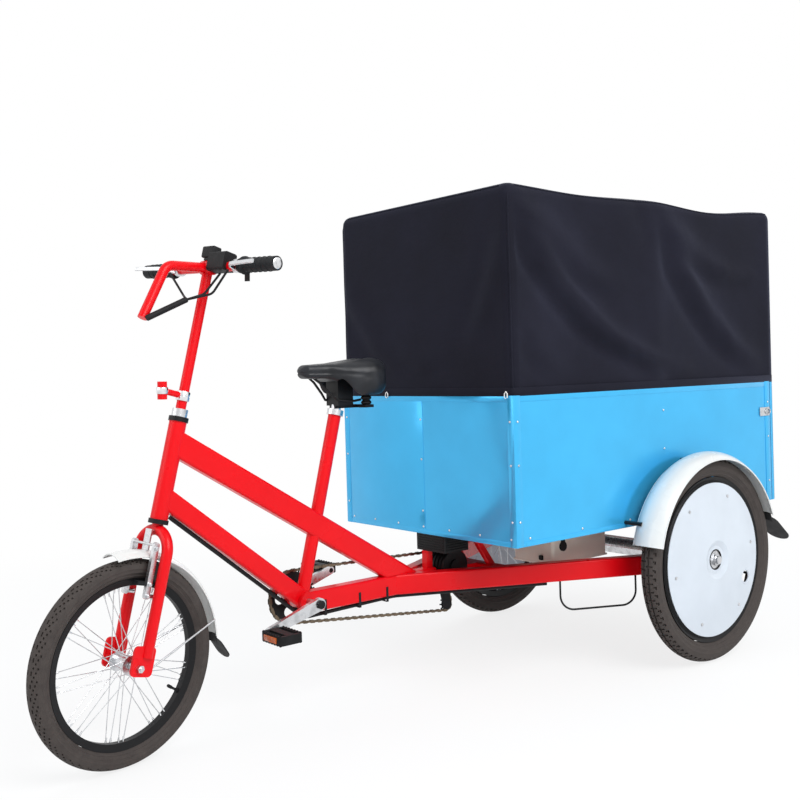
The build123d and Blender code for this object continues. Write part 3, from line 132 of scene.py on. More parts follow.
class Graph:
    """Node tree of one surface material, or of the sky."""

    def __init__(self, name: str, sky: bool = False) -> None:
        """Start an empty tree.

        Args:
            name: name of the material or sky.
            sky: true for the world's tree.
        """
        self.material = bpy.data.worlds.new(name) if sky else bpy.data.materials.new(name)
        self.material.use_nodes = True
        self.tree = self.material.node_tree
        self.tree.nodes.clear()

    def seen(self) -> Value:
        """One for rays of the camera and for its mirrored and clear rays, else nought.

        Returns:
            The wrapped sum.
        """
        rays = self.raw("ShaderNodeLightPath", {}, {})
        names = ("Is Camera Ray", "Is Glossy Ray", "Is Transmission Ray")
        first, second, third = [Value(self, rays.outputs[name]) for name in names]
        return first + second + third

    def raw(self, kind: str, settings: dict, inputs: dict) -> bpy.types.Node:
        """Add a node.

        Args:
            kind: Blender's node type.
            settings: node properties.
            inputs: values or links, by socket name or number.

        Returns:
            The new node.
        """
        made = self.tree.nodes.new(kind)
        for key, value in settings.items():
            setattr(made, key, value)
        for key, value in inputs.items():
            if isinstance(value, Value):
                self.tree.links.new(value.socket, made.inputs[key])
            else:
                made.inputs[key].default_value = value
        return made

    def node(self, kind: str, settings: dict | None = None, inputs: dict | None = None,
             output: Union[str, int] = 0) -> Value:
        """Add a node and return one of its outputs.

        Args:
            kind: Blender's node type.
            settings: node properties.
            inputs: values or links, by socket name or number.
            output: name or number of the output wanted.

        Returns:
            The wrapped output socket.
        """
        made = self.raw(kind, settings or {}, inputs or {})
        return Value(self, made.outputs[output])

    def place(self) -> Value:
        """Object coordinates of the surface.

        Returns:
            The wrapped vector.
        """
        return self.node("ShaderNodeTexCoord", output="Object")

    def axis(self, name: str) -> Value:
        """One object coordinate, by its letter.

        Args:
            name: X, Y or Z.

        Returns:
            The coordinate in metres.
        """
        return self.node("ShaderNodeSeparateXYZ", {}, {0: self.place()}, output=name)

    def noise(self, scale: float, detail: float = 4.0, stretch: Sequence[float] = (1, 1, 1)) -> Value:
        """Noise over object coordinates.

        Args:
            scale: cells per metre.
            detail: octaves.
            stretch: scale along each axis.

        Returns:
            Noise between nought and one.
        """
        where = self.node("ShaderNodeMapping", {}, {"Vector": self.place(), "Scale": tuple(stretch)})
        return self.node("ShaderNodeTexNoise", {}, {"Vector": where, "Scale": scale, "Detail": detail})

    def span(self, value: Value, low: float, high: float, to_low: float = 0.0, to_high: float = 1.0) -> Value:
        """Map a value from one span to another, held at the ends.

        Args:
            value: what is mapped.
            low: start of its span.
            high: end of its span.
            to_low: start of the new span.
            to_high: end of the new span.

        Returns:
            The mapped value.
        """
        return self.node("ShaderNodeMapRange", {"clamp": True}, {
            "Value": value, "From Min": low, "From Max": high, "To Min": to_low, "To Max": to_high})

    def blend(self, factor: Input, first: Input, second: Input) -> Value:
        """Mix two colours.

        Args:
            factor: share of the second.
            first: first colour.
            second: second colour.

        Returns:
            The mixed colour.
        """
        made = self.raw("ShaderNodeMix", {"data_type": "RGBA"}, {0: factor})
        for socket, value in ((made.inputs[6], first), (made.inputs[7], second)):
            if isinstance(value, Value):
                self.tree.links.new(value.socket, socket)
            else:
                socket.default_value = (*value, 1.0)
        return Value(self, made.outputs[2])

    def bump(self, height: Value, strength: float, distance: float) -> Value:
        """Normal bent by a height in metres.

        Args:
            height: height, in steps of the distance.
            strength: share of the effect.
            distance: metres for a height of one.

        Returns:
            The bent normal.
        """
        return self.node("ShaderNodeBump", {}, {"Height": height, "Strength": strength, "Distance": distance})

    def shade(self, **sockets: Input) -> bpy.types.Material:
        """Finish with a Principled shader.

        Args:
            sockets: its sockets, with underscores for spaces.

        Returns:
            The finished material.
        """
        named = {key.replace("_", " "): value for key, value in sockets.items()}
        for key in ("Base Color", "Sheen Tint"):
            if isinstance(named.get(key), tuple):
                named[key] = (*named[key], 1.0)
        surface = self.node("ShaderNodeBsdfPrincipled", {}, named)
        self.raw("ShaderNodeOutputMaterial", {}, {"Surface": surface})
        return self.material


def from_srgb(red: int, green: int, blue: int) -> Colour:
    """Linear colour of a screen colour in 0 to 255 steps.

    Args:
        red: red step.
        green: green step.
        blue: blue step.

    Returns:
        The linear colour.
    """
    def linear(step: int) -> float:
        """One channel, made linear.

        Args:
            step: screen step.

        Returns:
            The linear share.
        """
        share = step / 255
        return share / 12.92 if share <= 0.04045 else ((share + 0.055) / 1.055) ** 2.4
    return linear(red), linear(green), linear(blue)


@dataclass(frozen=True)
class Enamel:
    """Sprayed gloss paint with a faint orange peel and a little dust."""

    name: str
    colour: Colour
    roughness: float = 0.28
    coat: float = 0.15
    metallic: float = 0.0
    specular: float = 0.35
    peel: float = 0.05
    dust: float = 0.03
    cloud_scale: float = 9.0
    grime_scale: float = 160.0
    peel_scale: float = 420.0

    def build(self) -> bpy.types.Material:
        """Make the material.

        Returns:
            The finished material.
        """
        g = Graph(self.name)
        cloud = g.noise(self.cloud_scale, 3.0)
        grime = g.noise(self.grime_scale, 2.0)
        darker = tuple(channel * 0.93 for channel in self.colour)
        dusty = tuple(channel * 0.8 + 0.12 for channel in self.colour)
        colour = g.blend(g.span(cloud, 0.3, 0.7), self.colour, darker)
        colour = g.blend(g.span(grime, 0.55, 0.8) * self.dust, colour, dusty)
        rough = g.span(cloud, 0.3, 0.7, self.roughness - 0.05, self.roughness + 0.07)
        return g.shade(Base_Color=colour, Roughness=rough, Metallic=self.metallic, Coat_Weight=self.coat,
                       Coat_Roughness=0.08, Specular_IOR_Level=self.specular,
                       Normal=g.bump(g.noise(self.peel_scale, 1.0), self.peel, 0.0004))


@dataclass(frozen=True)
class Steel:
    """Plated or bare metal with fine brushing and dull spots."""

    name: str
    colour: Colour
    roughness: float = 0.28
    metallic: float = 1.0
    brush_scale: float = 900.0
    spot_scale: float = 60.0

    def build(self) -> bpy.types.Material:
        """Make the material.

        Returns:
            The finished material.
        """
        g = Graph(self.name)
        brushed = g.noise(self.brush_scale, 2.0)
        spots = g.noise(self.spot_scale, 5.0)
        dull = tuple(channel * 0.7 for channel in self.colour)
        colour = g.blend(g.span(spots, 0.45, 0.75), self.colour, dull)
        rough = g.span(spots, 0.35, 0.7, self.roughness - 0.08, self.roughness + 0.16)
        return g.shade(Base_Color=colour, Metallic=self.metallic, Roughness=rough,
                       Normal=g.bump(brushed, 0.12, 0.0003))


@dataclass(frozen=True)
class Moulded:
    """Moulded plastic or rubber with a fine leathery grain."""

    name: str
    colour: Colour
    roughness: float = 0.55
    grain: float = 700.0
    depth: float = 0.15
    cloud_scale: float = 40.0

    def build(self) -> bpy.types.Material:
        """Make the material.

        Returns:
            The finished material.
        """
        g = Graph(self.name)
        cells = g.node("ShaderNodeTexVoronoi", {}, {"Vector": g.place(), "Scale": self.grain})
        cloud = g.noise(self.cloud_scale, 4.0)
        lighter = tuple(channel * 1.35 + 0.006 for channel in self.colour)
        colour = g.blend(g.span(cloud, 0.4, 0.75), self.colour, lighter)
        rough = g.span(cloud, 0.3, 0.7, self.roughness - 0.08, self.roughness + 0.1)
        return g.shade(Base_Color=colour, Roughness=rough, Specular_IOR_Level=0.22,
                       Normal=g.bump(cells, self.depth, 0.0005))


@dataclass(frozen=True)
class Canvas:
    """Dark woven hood cloth with a soft nap, pale lint and faint creases."""

    name: str
    colour: Colour
    weave: float = 2600.0
    cloud_scale: float = 3.2
    nap_scale: float = 300.0
    crease_scale: float = 14.0
    lint_scale: float = 620.0

    def build(self) -> bpy.types.Material:
        """Make the material.

        Returns:
            The finished material.
        """
        g = Graph(self.name)
        cloud = g.noise(self.cloud_scale, 5.0)
        nap = g.noise(self.nap_scale, 3.0)
        warp = (g.axis("X") * self.weave + g.axis("Y") * self.weave).sine()
        threads = warp * (g.axis("Z") * self.weave).sine()
        creases = g.noise(self.crease_scale, 6.0, (1.0, 1.0, 2.2))
        lint = g.span(g.noise(self.lint_scale, 2.0), 0.66, 0.8)
        worn = tuple(channel * 1.7 + 0.004 for channel in self.colour)
        colour = g.blend(g.span(cloud, 0.35, 0.7), self.colour, worn)
        colour = g.blend(lint * 0.10, colour, (0.16, 0.16, 0.18))
        height = nap * 0.5 + threads * 0.25 + g.span(creases, 0.45, 0.7) * 2.4
        return g.shade(Base_Color=colour, Roughness=g.span(cloud, 0.3, 0.7, 0.62, 0.8), Sheen_Weight=0.12,
                       Sheen_Roughness=0.4, Sheen_Tint=(0.48, 0.53, 0.8), Specular_IOR_Level=0.11,
                       Normal=g.bump(height, 0.25, 0.0008))


@dataclass(frozen=True)
class TyreRubber:
    """Brown-black tyre rubber, clouded with dust and finely pitted."""

    name: str
    colour: Colour
    dust: Colour
    cloud_scale: float = 48.0
    pit_scale: float = 420.0

    def build(self) -> bpy.types.Material:
        """Make the material.

        Returns:
            The finished material.
        """
        g = Graph(self.name)
        cloud = g.noise(self.cloud_scale, 6.0)
        speck = g.noise(self.pit_scale, 3.0)
        colour = g.blend(g.span(cloud, 0.3, 0.75, 0.2, 0.6), self.colour, self.dust)
        pitted = tuple(channel * 0.5 for channel in self.colour)
        colour = g.blend(g.span(speck, 0.5, 0.75) * 0.35, colour, pitted)
        rough = g.span(cloud, 0.3, 0.7, 0.62, 0.86)
        return g.shade(Base_Color=colour, Roughness=rough, Specular_IOR_Level=0.25,
                       Normal=g.bump(speck, 0.3, 0.0006))


@dataclass(frozen=True)
class Vinyl:
    """Smooth saddle cover with fine leather grain."""

    name: str
    colour: Colour
    grain_scale: float = 520.0
    cloud_scale: float = 24.0

    def build(self) -> bpy.types.Material:
        """Make the material.

        Returns:
            The finished material.
        """
        g = Graph(self.name)
        cells = {"Vector": g.place(), "Scale": self.grain_scale}
        grain = g.node("ShaderNodeTexVoronoi", {"feature": "SMOOTH_F1"}, cells)
        cloud = g.noise(self.cloud_scale, 4.0)
        lighter = tuple(channel * 1.6 + 0.004 for channel in self.colour)
        return g.shade(Base_Color=g.blend(g.span(cloud, 0.35, 0.7), self.colour, lighter),
                       Roughness=g.span(cloud, 0.3, 0.7, 0.3, 0.44), Specular_IOR_Level=0.35,
                       Normal=g.bump(grain, 0.18, 0.0005))


@dataclass(frozen=True)
class Lens:
    """Clear coloured plastic with prism cells behind its face."""

    name: str
    colour: Colour
    prism_scale: float = 420.0

    def build(self) -> bpy.types.Material:
        """Make the material.

        Returns:
            The finished material.
        """
        g = Graph(self.name)
        cells = {"Vector": g.place(), "Scale": self.prism_scale}
        prisms = g.node("ShaderNodeTexVoronoi", {"distance": "MANHATTAN"}, cells)
        deep = tuple(channel * 0.55 for channel in self.colour)
        colour = g.blend(g.span(prisms, 0.2, 0.7), self.colour, deep)
        return g.shade(Base_Color=colour, Roughness=g.span(prisms, 0.1, 0.8, 0.12, 0.3), Coat_Weight=0.7,
                       Normal=g.bump(prisms, 0.4, 0.0008))


class Paint(Enum):
    """Finishes of the nodes and the trim."""

    RED = Enamel("red_enamel", from_srgb(226, 3, 16), 0.3, 0.05, 0.0, 0.2, dust=0.02)
    BLUE = Enamel("blue_enamel", from_srgb(66, 182, 236), 0.2, 0.1, 0.45)
    SILVER_WHITE = Enamel("silver_enamel", from_srgb(226, 226, 223), 0.25, 0.3)
    COVER_WHITE = Enamel("white_enamel", from_srgb(206, 213, 221), 0.35, 0.2)
    BLACK = Enamel("satin_black", from_srgb(18, 18, 20), 0.4, 0.0, 0.0, 0.22)
    GREY_CASE = Enamel("case_enamel", from_srgb(240, 228, 212), 0.4, 0.1)
    DARK_FLOOR = Enamel("floor_grey", from_srgb(70, 72, 76), 0.5, 0.1)
    ZINC = Steel("zinc_plate", (0.66, 0.67, 0.69))
    CHAIN = Steel("oiled_chain", (0.20, 0.155, 0.11), 0.36)
    PLASTIC = Moulded("moulded_black", from_srgb(17, 17, 19))
    RUBBER = Moulded("moulded_rubber", from_srgb(20, 22, 25), 0.6, 900.0, 0.3)
    HOOD = Canvas("hood_canvas", from_srgb(15, 15, 26))
    TYRE = TyreRubber("brown_rubber", from_srgb(52, 46, 44), from_srgb(88, 81, 77))
    CHROME = Steel("bright_chrome", (0.82, 0.83, 0.85), 0.16)
    AMBER = Lens("amber_lens", from_srgb(226, 104, 12))
    CORD_WHITE = Moulded("white_plastic", from_srgb(222, 222, 218), 0.45)
    VINYL = Vinyl("black_vinyl", from_srgb(17, 19, 24))

    def made(self) -> bpy.types.Material:
        """The one material of this finish.

        Returns:
            The material, made at its first use.
        """
        return bpy.data.materials.get(self.value.name) or self.value.build()


NODE_PAINT: dict[Paint, str] = {
    Paint.RED: "head_tube top_tube down_tube seat_tube centre_beam chassis_rails cross_members fork "
               "handlebar",
    Paint.ZINC: "axle_housing front_axle headset_nut front_hub rear_hub_left rear_hub_right seat_post "
                "front_brake brake_levers fender_stays gate_hinges cranks",
    Paint.BLACK: "headset_cups drive_motor controller_box fender_brackets saddle_frame front_rim "
                 "rear_rim_left rear_rim_right chainring hood_hoops chain_idler",
    Paint.CHAIN: "drive_chain",
    Paint.GREY_CASE: "battery_box",
    Paint.PLASTIC: "frame_cables bar_cables battery_socket bar_display rear_mud_flaps front_mud_flap "
                   "pedal_left pedal_right hood_front hood_roof hood_sides saddle front_tyre "
                   "rear_tyre_left rear_tyre_right",
    Paint.RUBBER: "grips brake_pads",
    Paint.BLUE: "box_front box_sides tailgate",
    Paint.DARK_FLOOR: "box_floor",
    Paint.SILVER_WHITE: "rear_fenders front_fender",
    Paint.COVER_WHITE: "wheel_cover_left wheel_cover_right",
}


def wear(obj: bpy.types.Object, material: bpy.types.Material) -> None:
    """Give an object one material all over.

    Args:
        obj: the object.
        material: its material.
    """
    obj.data.materials.clear()
    obj.data.materials.append(material)


@dataclass
class Studio:
    """Camera, lamps, world and floor."""

    eye: tuple[float, float, float] = (2.7768, 2.3031, 0.9427)
    yaw: float = -2.2467
    pitch: float = -0.0166
    roll: float = -0.0304
    focal_px: float = 1014.8
    centre_px: tuple[float, float] = (379.42, 386.11)
    picture_px: float = 800.0
    sensor_mm: float = 36.0
    sky: float = 0.6
    aim_height: float = 0.6
    floor_size: float = 60.0
    floor_drop: float = 0.0005
    floor_glow: float = 0.8
    floor_fade: tuple[float, float] = (1.2, 3.2)

    def build(self) -> None:
        """Set up everything round the object."""
        self._camera()
        self._lamps()
        self._world()
        self._floor()

    def _camera(self) -> None:
        """Camera at the photograph's viewpoint."""
        data = bpy.data.cameras.new("photo_camera")
        data.sensor_width = self.sensor_mm
        data.lens = self.focal_px * self.sensor_mm / self.picture_px
        data.shift_x = (self.picture_px / 2 - self.centre_px[0]) / self.picture_px
        data.shift_y = (self.centre_px[1] - self.picture_px / 2) / self.picture_px
        data.clip_end = 100.0
        camera = bpy.data.objects.new("photo_camera", data)
        bpy.context.scene.collection.objects.link(camera)
        level = math.cos(self.pitch)
        ahead = Vector((math.cos(self.yaw) * level, math.sin(self.yaw) * level, math.sin(self.pitch)))
        right = Vector((math.sin(self.yaw), -math.cos(self.yaw), 0.0))
        up = right.cross(ahead)
        turned_right = math.cos(self.roll) * right + math.sin(self.roll) * up
        turned_up = -math.sin(self.roll) * right + math.cos(self.roll) * up
        axes = Matrix((turned_right, turned_up, -ahead)).transposed().to_4x4()
        place = Vector(self.eye) + Vector((middle("rear_tyre_left").x, 0.0, 0.0))
        camera.matrix_world = Matrix.Translation(place) @ axes
        bpy.context.scene.camera = camera

    def _lamps(self) -> None:
        """Large soft lamps above and on both sides."""
        # name, place, size and power
        rows = (
            ("key_lamp", (0.4, 3.8, 3.8), 3.2, 196.0),
            ("fill_lamp", (4.2, -1.0, 2.6), 3.0, 45.0),
            ("back_lamp", (-3.6, -2.4, 3.4), 3.0, 60.0),
        )
        aim = Vector((0, 0, self.aim_height))
        for name, place, size, power in rows:
            data = bpy.data.lights.new(name, "AREA")
            data.size = size
            data.energy = power
            lamp = bpy.data.objects.new(name, data)
            bpy.context.scene.collection.objects.link(lamp)
            lamp.location = place
            lamp.rotation_euler = (aim - Vector(place)).to_track_quat("-Z", "Y").to_euler()

    def _world(self) -> None:
        """Soft sky light that the camera sees as white."""
        g = Graph("studio_sky", sky=True)
        bpy.context.scene.world = g.material
        white = g.node("ShaderNodeBackground", {}, {"Color": (1.0, 1.0, 1.0, 1.0), "Strength": 1.0})
        light = g.node("ShaderNodeBackground", {}, {"Color": (0.9, 0.95, 1.0, 1.0), "Strength": self.sky})
        both = g.node("ShaderNodeMixShader", {}, {0: g.seen(), 1: light, 2: white})
        g.raw("ShaderNodeOutputWorld", {}, {"Surface": both})
        bpy.context.scene.view_settings.view_transform = "Standard"

    def _floor(self) -> None:
        """Pale floor that keeps the shadow and fades to white farther out."""
        bpy.ops.object.select_all(action="DESELECT")
        bpy.ops.mesh.primitive_plane_add(size=self.floor_size, location=(0, 0, -self.floor_drop))
        floor = bpy.context.object
        floor.name = "studio_floor"
        g = Graph("studio_floor")
        away = g.node("ShaderNodeVectorMath", {"operation": "LENGTH"}, {0: g.place()}, output="Value")
        glow = g.span(away, *self.floor_fade, self.floor_glow, 1.0)
        pale = g.node("ShaderNodeBsdfDiffuse", {}, {"Color": (0.92, 0.92, 0.92, 1.0)})
        white = g.node("ShaderNodeEmission", {}, {"Color": (1.0, 1.0, 1.0, 1.0), "Strength": 1.0})
        both = g.node("ShaderNodeMixShader", {}, {0: g.seen() * glow, 1: pale, 2: white})
        g.raw("ShaderNodeOutputMaterial", {}, {"Surface": both})
        wear(floor, g.material)


class Pick(Enum):
    """What an edit-mode selection holds."""

    VERTS = "VERT"
    EDGES = "EDGE"
    FACES = "FACE"


class Bench:
    """Meshes worked with Blender's own operators, picked in code by place or normal."""

    @staticmethod
    def clear() -> None:
        """Leave edit mode with nothing selected."""
        if bpy.context.mode != "OBJECT":
            bpy.ops.object.mode_set(mode="OBJECT")
        bpy.ops.object.select_all(action="DESELECT")

    @staticmethod
    def only(obj: bpy.types.Object) -> None:
        """Select one object and make it active.

        Args:
            obj: the object.
        """
        Bench.clear()
        obj.select_set(True)
        bpy.context.view_layer.objects.active = obj

    @staticmethod
    def edit(obj: bpy.types.Object) -> None:
        """Open an object in edit mode with nothing picked.

        Args:
            obj: the object.
        """
        Bench.only(obj)
        bpy.ops.object.mode_set(mode="EDIT")
        bpy.ops.mesh.select_mode(type="FACE")
        bpy.ops.mesh.select_all(action="DESELECT")

    @staticmethod
    def pick(obj: bpy.types.Object, kind: Pick, test: Callable[..., bool]) -> int:
        """Select parts of the mesh in edit mode.

        Args:
            obj: object in edit mode.
            kind: vertices, edges or faces.
            test: called with each of them; true picks it.

        Returns:
            How many were picked.
        """
        bpy.ops.mesh.select_mode(type=kind.value)
        bpy.ops.mesh.select_all(action="DESELECT")
        mesh = bmesh.from_edit_mesh(obj.data)
        rows = {Pick.VERTS: mesh.verts, Pick.EDGES: mesh.edges, Pick.FACES: mesh.faces}[kind]
        chosen = [row for row in rows if test(row)]
        for row in chosen:
            row.select_set(True)
        mesh.select_flush_mode()
        bmesh.update_edit_mesh(obj.data)
        return len(chosen)

    @staticmethod
    def named(name: str) -> bpy.types.Object:
        """Name the active object, with its place put into its mesh.

        Args:
            name: its new name.

        Returns:
            The object.
        """
        obj = bpy.context.object
        obj.name = name
        obj.data.name = name
        bpy.ops.object.transform_apply(location=True, rotation=True, scale=True)
        return obj

    @staticmethod
    def close(obj: bpy.types.Object, angle: float = 35.0) -> None:
        """Merge doubles, point faces outwards and shade smooth up to an angle.

        Args:
            obj: the object.
            angle: largest smooth angle, degrees.
        """
        Bench.edit(obj)
        bpy.ops.mesh.select_all(action="SELECT")
        bpy.ops.mesh.remove_doubles(threshold=1e-5)
        bpy.ops.mesh.normals_make_consistent(inside=False)
        Bench.only(obj)
        bpy.ops.object.shade_smooth_by_angle(angle=math.radians(angle))

    @staticmethod
    def profile(name: str, points: Sequence[Sequence[float]]) -> bpy.types.Object:
        """Open chain of edges, extruded point by point.

        Args:
            name: name of the new object.
            points: places in metres.

        Returns:
            The object, in edit mode with everything selected.
        """
        Bench.clear()
        bpy.ops.mesh.primitive_plane_add(size=0.001)
        obj = Bench.named(name)
        Bench.edit(obj)
        bpy.ops.mesh.select_mode(type="VERT")
        bpy.ops.mesh.select_all(action="SELECT")
        bpy.ops.mesh.merge(type="CENTER")
        bpy.ops.transform.translate(value=Vector(points[0]))
        for before, after in zip(points, points[1:]):
            step = Vector(after) - Vector(before)
            bpy.ops.mesh.extrude_region_move(TRANSFORM_OT_translate={"value": step})
        bpy.ops.mesh.select_all(action="SELECT")
        return obj

    @staticmethod
    def spun(name: str, points: Sequence[Sequence[float]], axis: Sequence[float],
             steps: int) -> bpy.types.Object:
        """Ring turned from a closed profile about an axis through the origin.

        Args:
            name: name of the new object.
            points: the profile, in metres.
            axis: direction of the axis.
            steps: steps of the full turn.

        Returns:
            The object, in object mode.
        """
        obj = Bench.profile(name, [*points, points[0]])
        bpy.ops.mesh.remove_doubles(threshold=1e-6)
        bpy.ops.mesh.select_all(action="SELECT")
        bpy.ops.mesh.spin(steps=steps, angle=2 * math.pi, center=(0, 0, 0), axis=axis)
        Bench.close(obj)
        return obj

    @staticmethod
    def slab(name: str, low: Sequence[float], high: Sequence[float], edge: float,
             segments: int = 2) -> bpy.types.Object:
        """Block between two corners with rounded edges.

        Args:
            name: name of the new object.
            low: lowest corner.
            high: highest corner.
            edge: width of the rounding.
            segments: steps of the rounding.

        Returns:
            The object, in object mode.
        """
        first, last = Vector(low), Vector(high)
        Bench.clear()
        bpy.ops.mesh.primitive_cube_add(size=1.0, location=(first + last) / 2, scale=last - first)
        obj = Bench.named(name)
        Bench.edit(obj)
        bpy.ops.mesh.select_all(action="SELECT")
        bpy.ops.mesh.bevel(offset=edge, segments=segments, profile=0.5, affect="EDGES")
        Bench.close(obj, 40.0)
        return obj

    @staticmethod
    def slabs(name: str, blocks: Iterable[Block], segments: int = 2) -> bpy.types.Object:
        """One object of several rounded blocks.

        Args:
            name: name of the whole.
            blocks: lowest corner, highest corner and rounding of each.
            segments: steps of the rounding.

        Returns:
            The joined object.
        """
        return Bench.joined(name, [Bench.slab(name, low, high, edge, segments) for low, high, edge in blocks])

    @staticmethod
    def wire(name: str, points: Sequence[Sequence[float]], radius: float, closed: bool = False,
             sides: int = 2) -> bpy.types.Object:
        """Round wire, bead or cord along points.

        Args:
            name: name of the new object.
            points: places in metres.
            radius: half its thickness.
            closed: whether the end meets the start.
            sides: steps of a quarter turn.

        Returns:
            The object, in object mode.
        """
        obj = Bench.profile(name, [*points, points[0]] if closed else points)
        bpy.ops.mesh.remove_doubles(threshold=1e-6)
        Bench.only(obj)
        bpy.ops.object.convert(target="CURVE")
        obj.data.bevel_depth = radius
        obj.data.bevel_resolution = sides
        obj.data.use_fill_caps = not closed
        bpy.ops.object.convert(target="MESH")
        obj = bpy.context.object
        obj.data.name = name
        Bench.close(obj, 60.0)
        return obj

    @staticmethod
    def knob(name: str, points: Sequence[tuple[float, float]], steps: int) -> bpy.types.Object:
        """Turned piece on +Z from (radius, height) points.

        Args:
            name: name of the new object.
            points: the profile, in metres.
            steps: steps of the full turn.

        Returns:
            The object, in object mode.
        """
        return Bench.spun(name, [(radius, 0.0, height) for radius, height in points], (0, 0, 1), steps)

    @staticmethod
    def dome(name: str, radius: float) -> bpy.types.Object:
        """Rivet head that stands on the XY plane.

        Args:
            name: name of the new object.
            radius: its radius.

        Returns:
            The object.
        """
        Bench.clear()
        bpy.ops.mesh.primitive_uv_sphere_add(segments=10, ring_count=6, radius=radius)
        obj = Bench.named(name)
        Bench.edit(obj)
        bpy.ops.mesh.select_all(action="SELECT")
        bpy.ops.mesh.bisect(plane_co=(0, 0, 0), plane_no=(0, 0, 1), clear_inner=True, use_fill=True)
        bpy.ops.mesh.select_all(action="SELECT")
        bpy.ops.transform.resize(value=(1.0, 1.0, 0.55))
        Bench.close(obj, 50.0)
        return obj

    @staticmethod
    def hex_bolt(name: str, across: float, height: float) -> bpy.types.Object:
        """Hexagon head on a washer, standing on the XY plane.

        Args:
            name: name of the new object.
            across: size over the corners.
            height: height of the head.

        Returns:
            The object.
        """
        Bench.clear()
        bpy.ops.mesh.primitive_cylinder_add(vertices=6, radius=across / 2, depth=height,
                                            location=(0, 0, height * 0.7))
        head = Bench.named(name)
        Bench.edit(head)
        Bench.pick(head, Pick.FACES, lambda face: face.normal.z > 0.9)
        bpy.ops.mesh.inset(thickness=across * 0.08, depth=0.0)
        bpy.ops.transform.translate(value=(0, 0, height * 0.15))
        Bench.close(head, 30.0)
        Bench.clear()
        bpy.ops.mesh.primitive_cylinder_add(vertices=14, radius=across * 0.72, depth=height * 0.25,
                                            location=(0, 0, height * 0.12))
        washer = Bench.named(name + "_washer")
        Bench.close(washer, 30.0)
        return Bench.joined(name, [head, washer])

    @staticmethod
    def joined(name: str, parts: Sequence[bpy.types.Object]) -> bpy.types.Object:
        """Join objects into one.

        Args:
            name: name of the whole.
            parts: the objects.

        Returns:
            The joined object.
        """
        Bench.only(parts[0])
        for part in parts:
            part.select_set(True)
        bpy.ops.object.join()
        parts[0].name = name
        parts[0].data.name = name
        return parts[0]

    @staticmethod
    def copy(pattern: bpy.types.Object, place: Matrix) -> bpy.types.Object:
        """Copy with its own mesh, moved by a matrix.

        Args:
            pattern: object to copy.
            place: where the copy goes.

        Returns:
            The copy.
        """
        twin = pattern.copy()
        twin.data = pattern.data.copy()
        twin.data.transform(place)
        bpy.context.scene.collection.objects.link(twin)
        return twin

    @staticmethod
    def scatter(name: str, pattern: bpy.types.Object, places: Iterable[Matrix]) -> bpy.types.Object:
        """One object of copies of a pattern, which is then removed.

        Args:
            name: name of the whole.
            pattern: object to copy.
            places: where the copies go.

        Returns:
            The joined copies.
        """
        parts = [Bench.copy(pattern, place) for place in places]
        bpy.data.objects.remove(pattern)
        return Bench.joined(name, parts)


def vertex_array(obj: bpy.types.Object) -> np.ndarray:
    """Vertex places of a mesh, one row each.

    Args:
        obj: the object.

    Returns:
        The rows.
    """
    rows = np.empty(len(obj.data.vertices) * 3)
    obj.data.vertices.foreach_get("co", rows)
    return rows.reshape(-1, 3)


def set_vertices(obj: bpy.types.Object, rows: np.ndarray) -> None:
    """Put vertex places back into a mesh.

    Args:
        obj: the object.
        rows: places, one row each.
    """
    obj.data.vertices.foreach_set("co", rows.reshape(-1))
    obj.data.update()


def middle(node: str) -> Vector:
    """Middle of a CAD node's box.

    Args:
        node: name of the node.

    Returns:
        The point.
    """
    low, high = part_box(node)
    return (low + high) / 2


def mirrored(sign: int, inner: float, outer: float) -> tuple[float, float]:
    """Span across one side of the tricycle.

    Args:
        sign: LEFT or RIGHT.
        inner: distance of its inner end from the middle plane.
        outer: distance of its outer end.

    Returns:
        Its lower and upper ends.
    """
    lower, upper = sorted((sign * inner, sign * outer))
    return lower, upper


def along(direction: Vector, place: Vector) -> Matrix:
    """Place that turns +Z to a direction and moves to a point.

    Args:
        direction: where +Z points.
        place: the point.

    Returns:
        The matrix.
    """
    return Matrix.Translation(place) @ direction.to_track_quat("Z", "Y").to_matrix().to_4x4()


@dataclass
class Fold:
    """One drawn ridge in cloth: a curve over the panel, its width, height and the valley beside it."""

    points: tuple[tuple[float, float], ...]
    width: float
    height: float
    valley: float = 0.7
    samples: int = 40
    passes: int = 6

    def lift(self, across: np.ndarray, down: np.ndarray) -> np.ndarray:
        """Height of the fold at places on the panel.

        Args:
            across: shares along the panel.
            down: shares from the top to the hem.

        Returns:
            Heights in metres.
        """
        knots = np.array(self.points)
        ends = np.linspace(0, 1, len(knots))
        shares = np.linspace(0, 1, self.samples)
        line = np.stack([np.interp(shares, ends, column) for column in knots.T], axis=1)
        for _ in range(self.passes):
            line[1:-1] = (line[:-2] + 2 * line[1:-1] + line[2:]) / 4
        tangent = np.gradient(line, axis=0)
        offsets = np.stack([across, down], axis=1)[:, None, :] - line[None]
        gaps = np.linalg.norm(offsets, axis=2)
        nearest = gaps.argmin(axis=1)
        rows = np.arange(len(nearest))
        near_offset = offsets[rows, nearest]
        near_tangent = tangent[nearest]
        side = np.sign(near_tangent[:, 0] * near_offset[:, 1] - near_tangent[:, 1] * near_offset[:, 0])
        gap = gaps[rows, nearest] / self.width
        share = shares[nearest]
        fade = np.clip(share * 5, 0.25, 1) * np.clip((1 - share) * 3, 0, 1)
        ridge = np.exp(-gap ** 2)
        valley = self.valley * np.exp(-((side * gap - 1.5) / 0.8) ** 2)
        return self.height * fade * (ridge - valley)


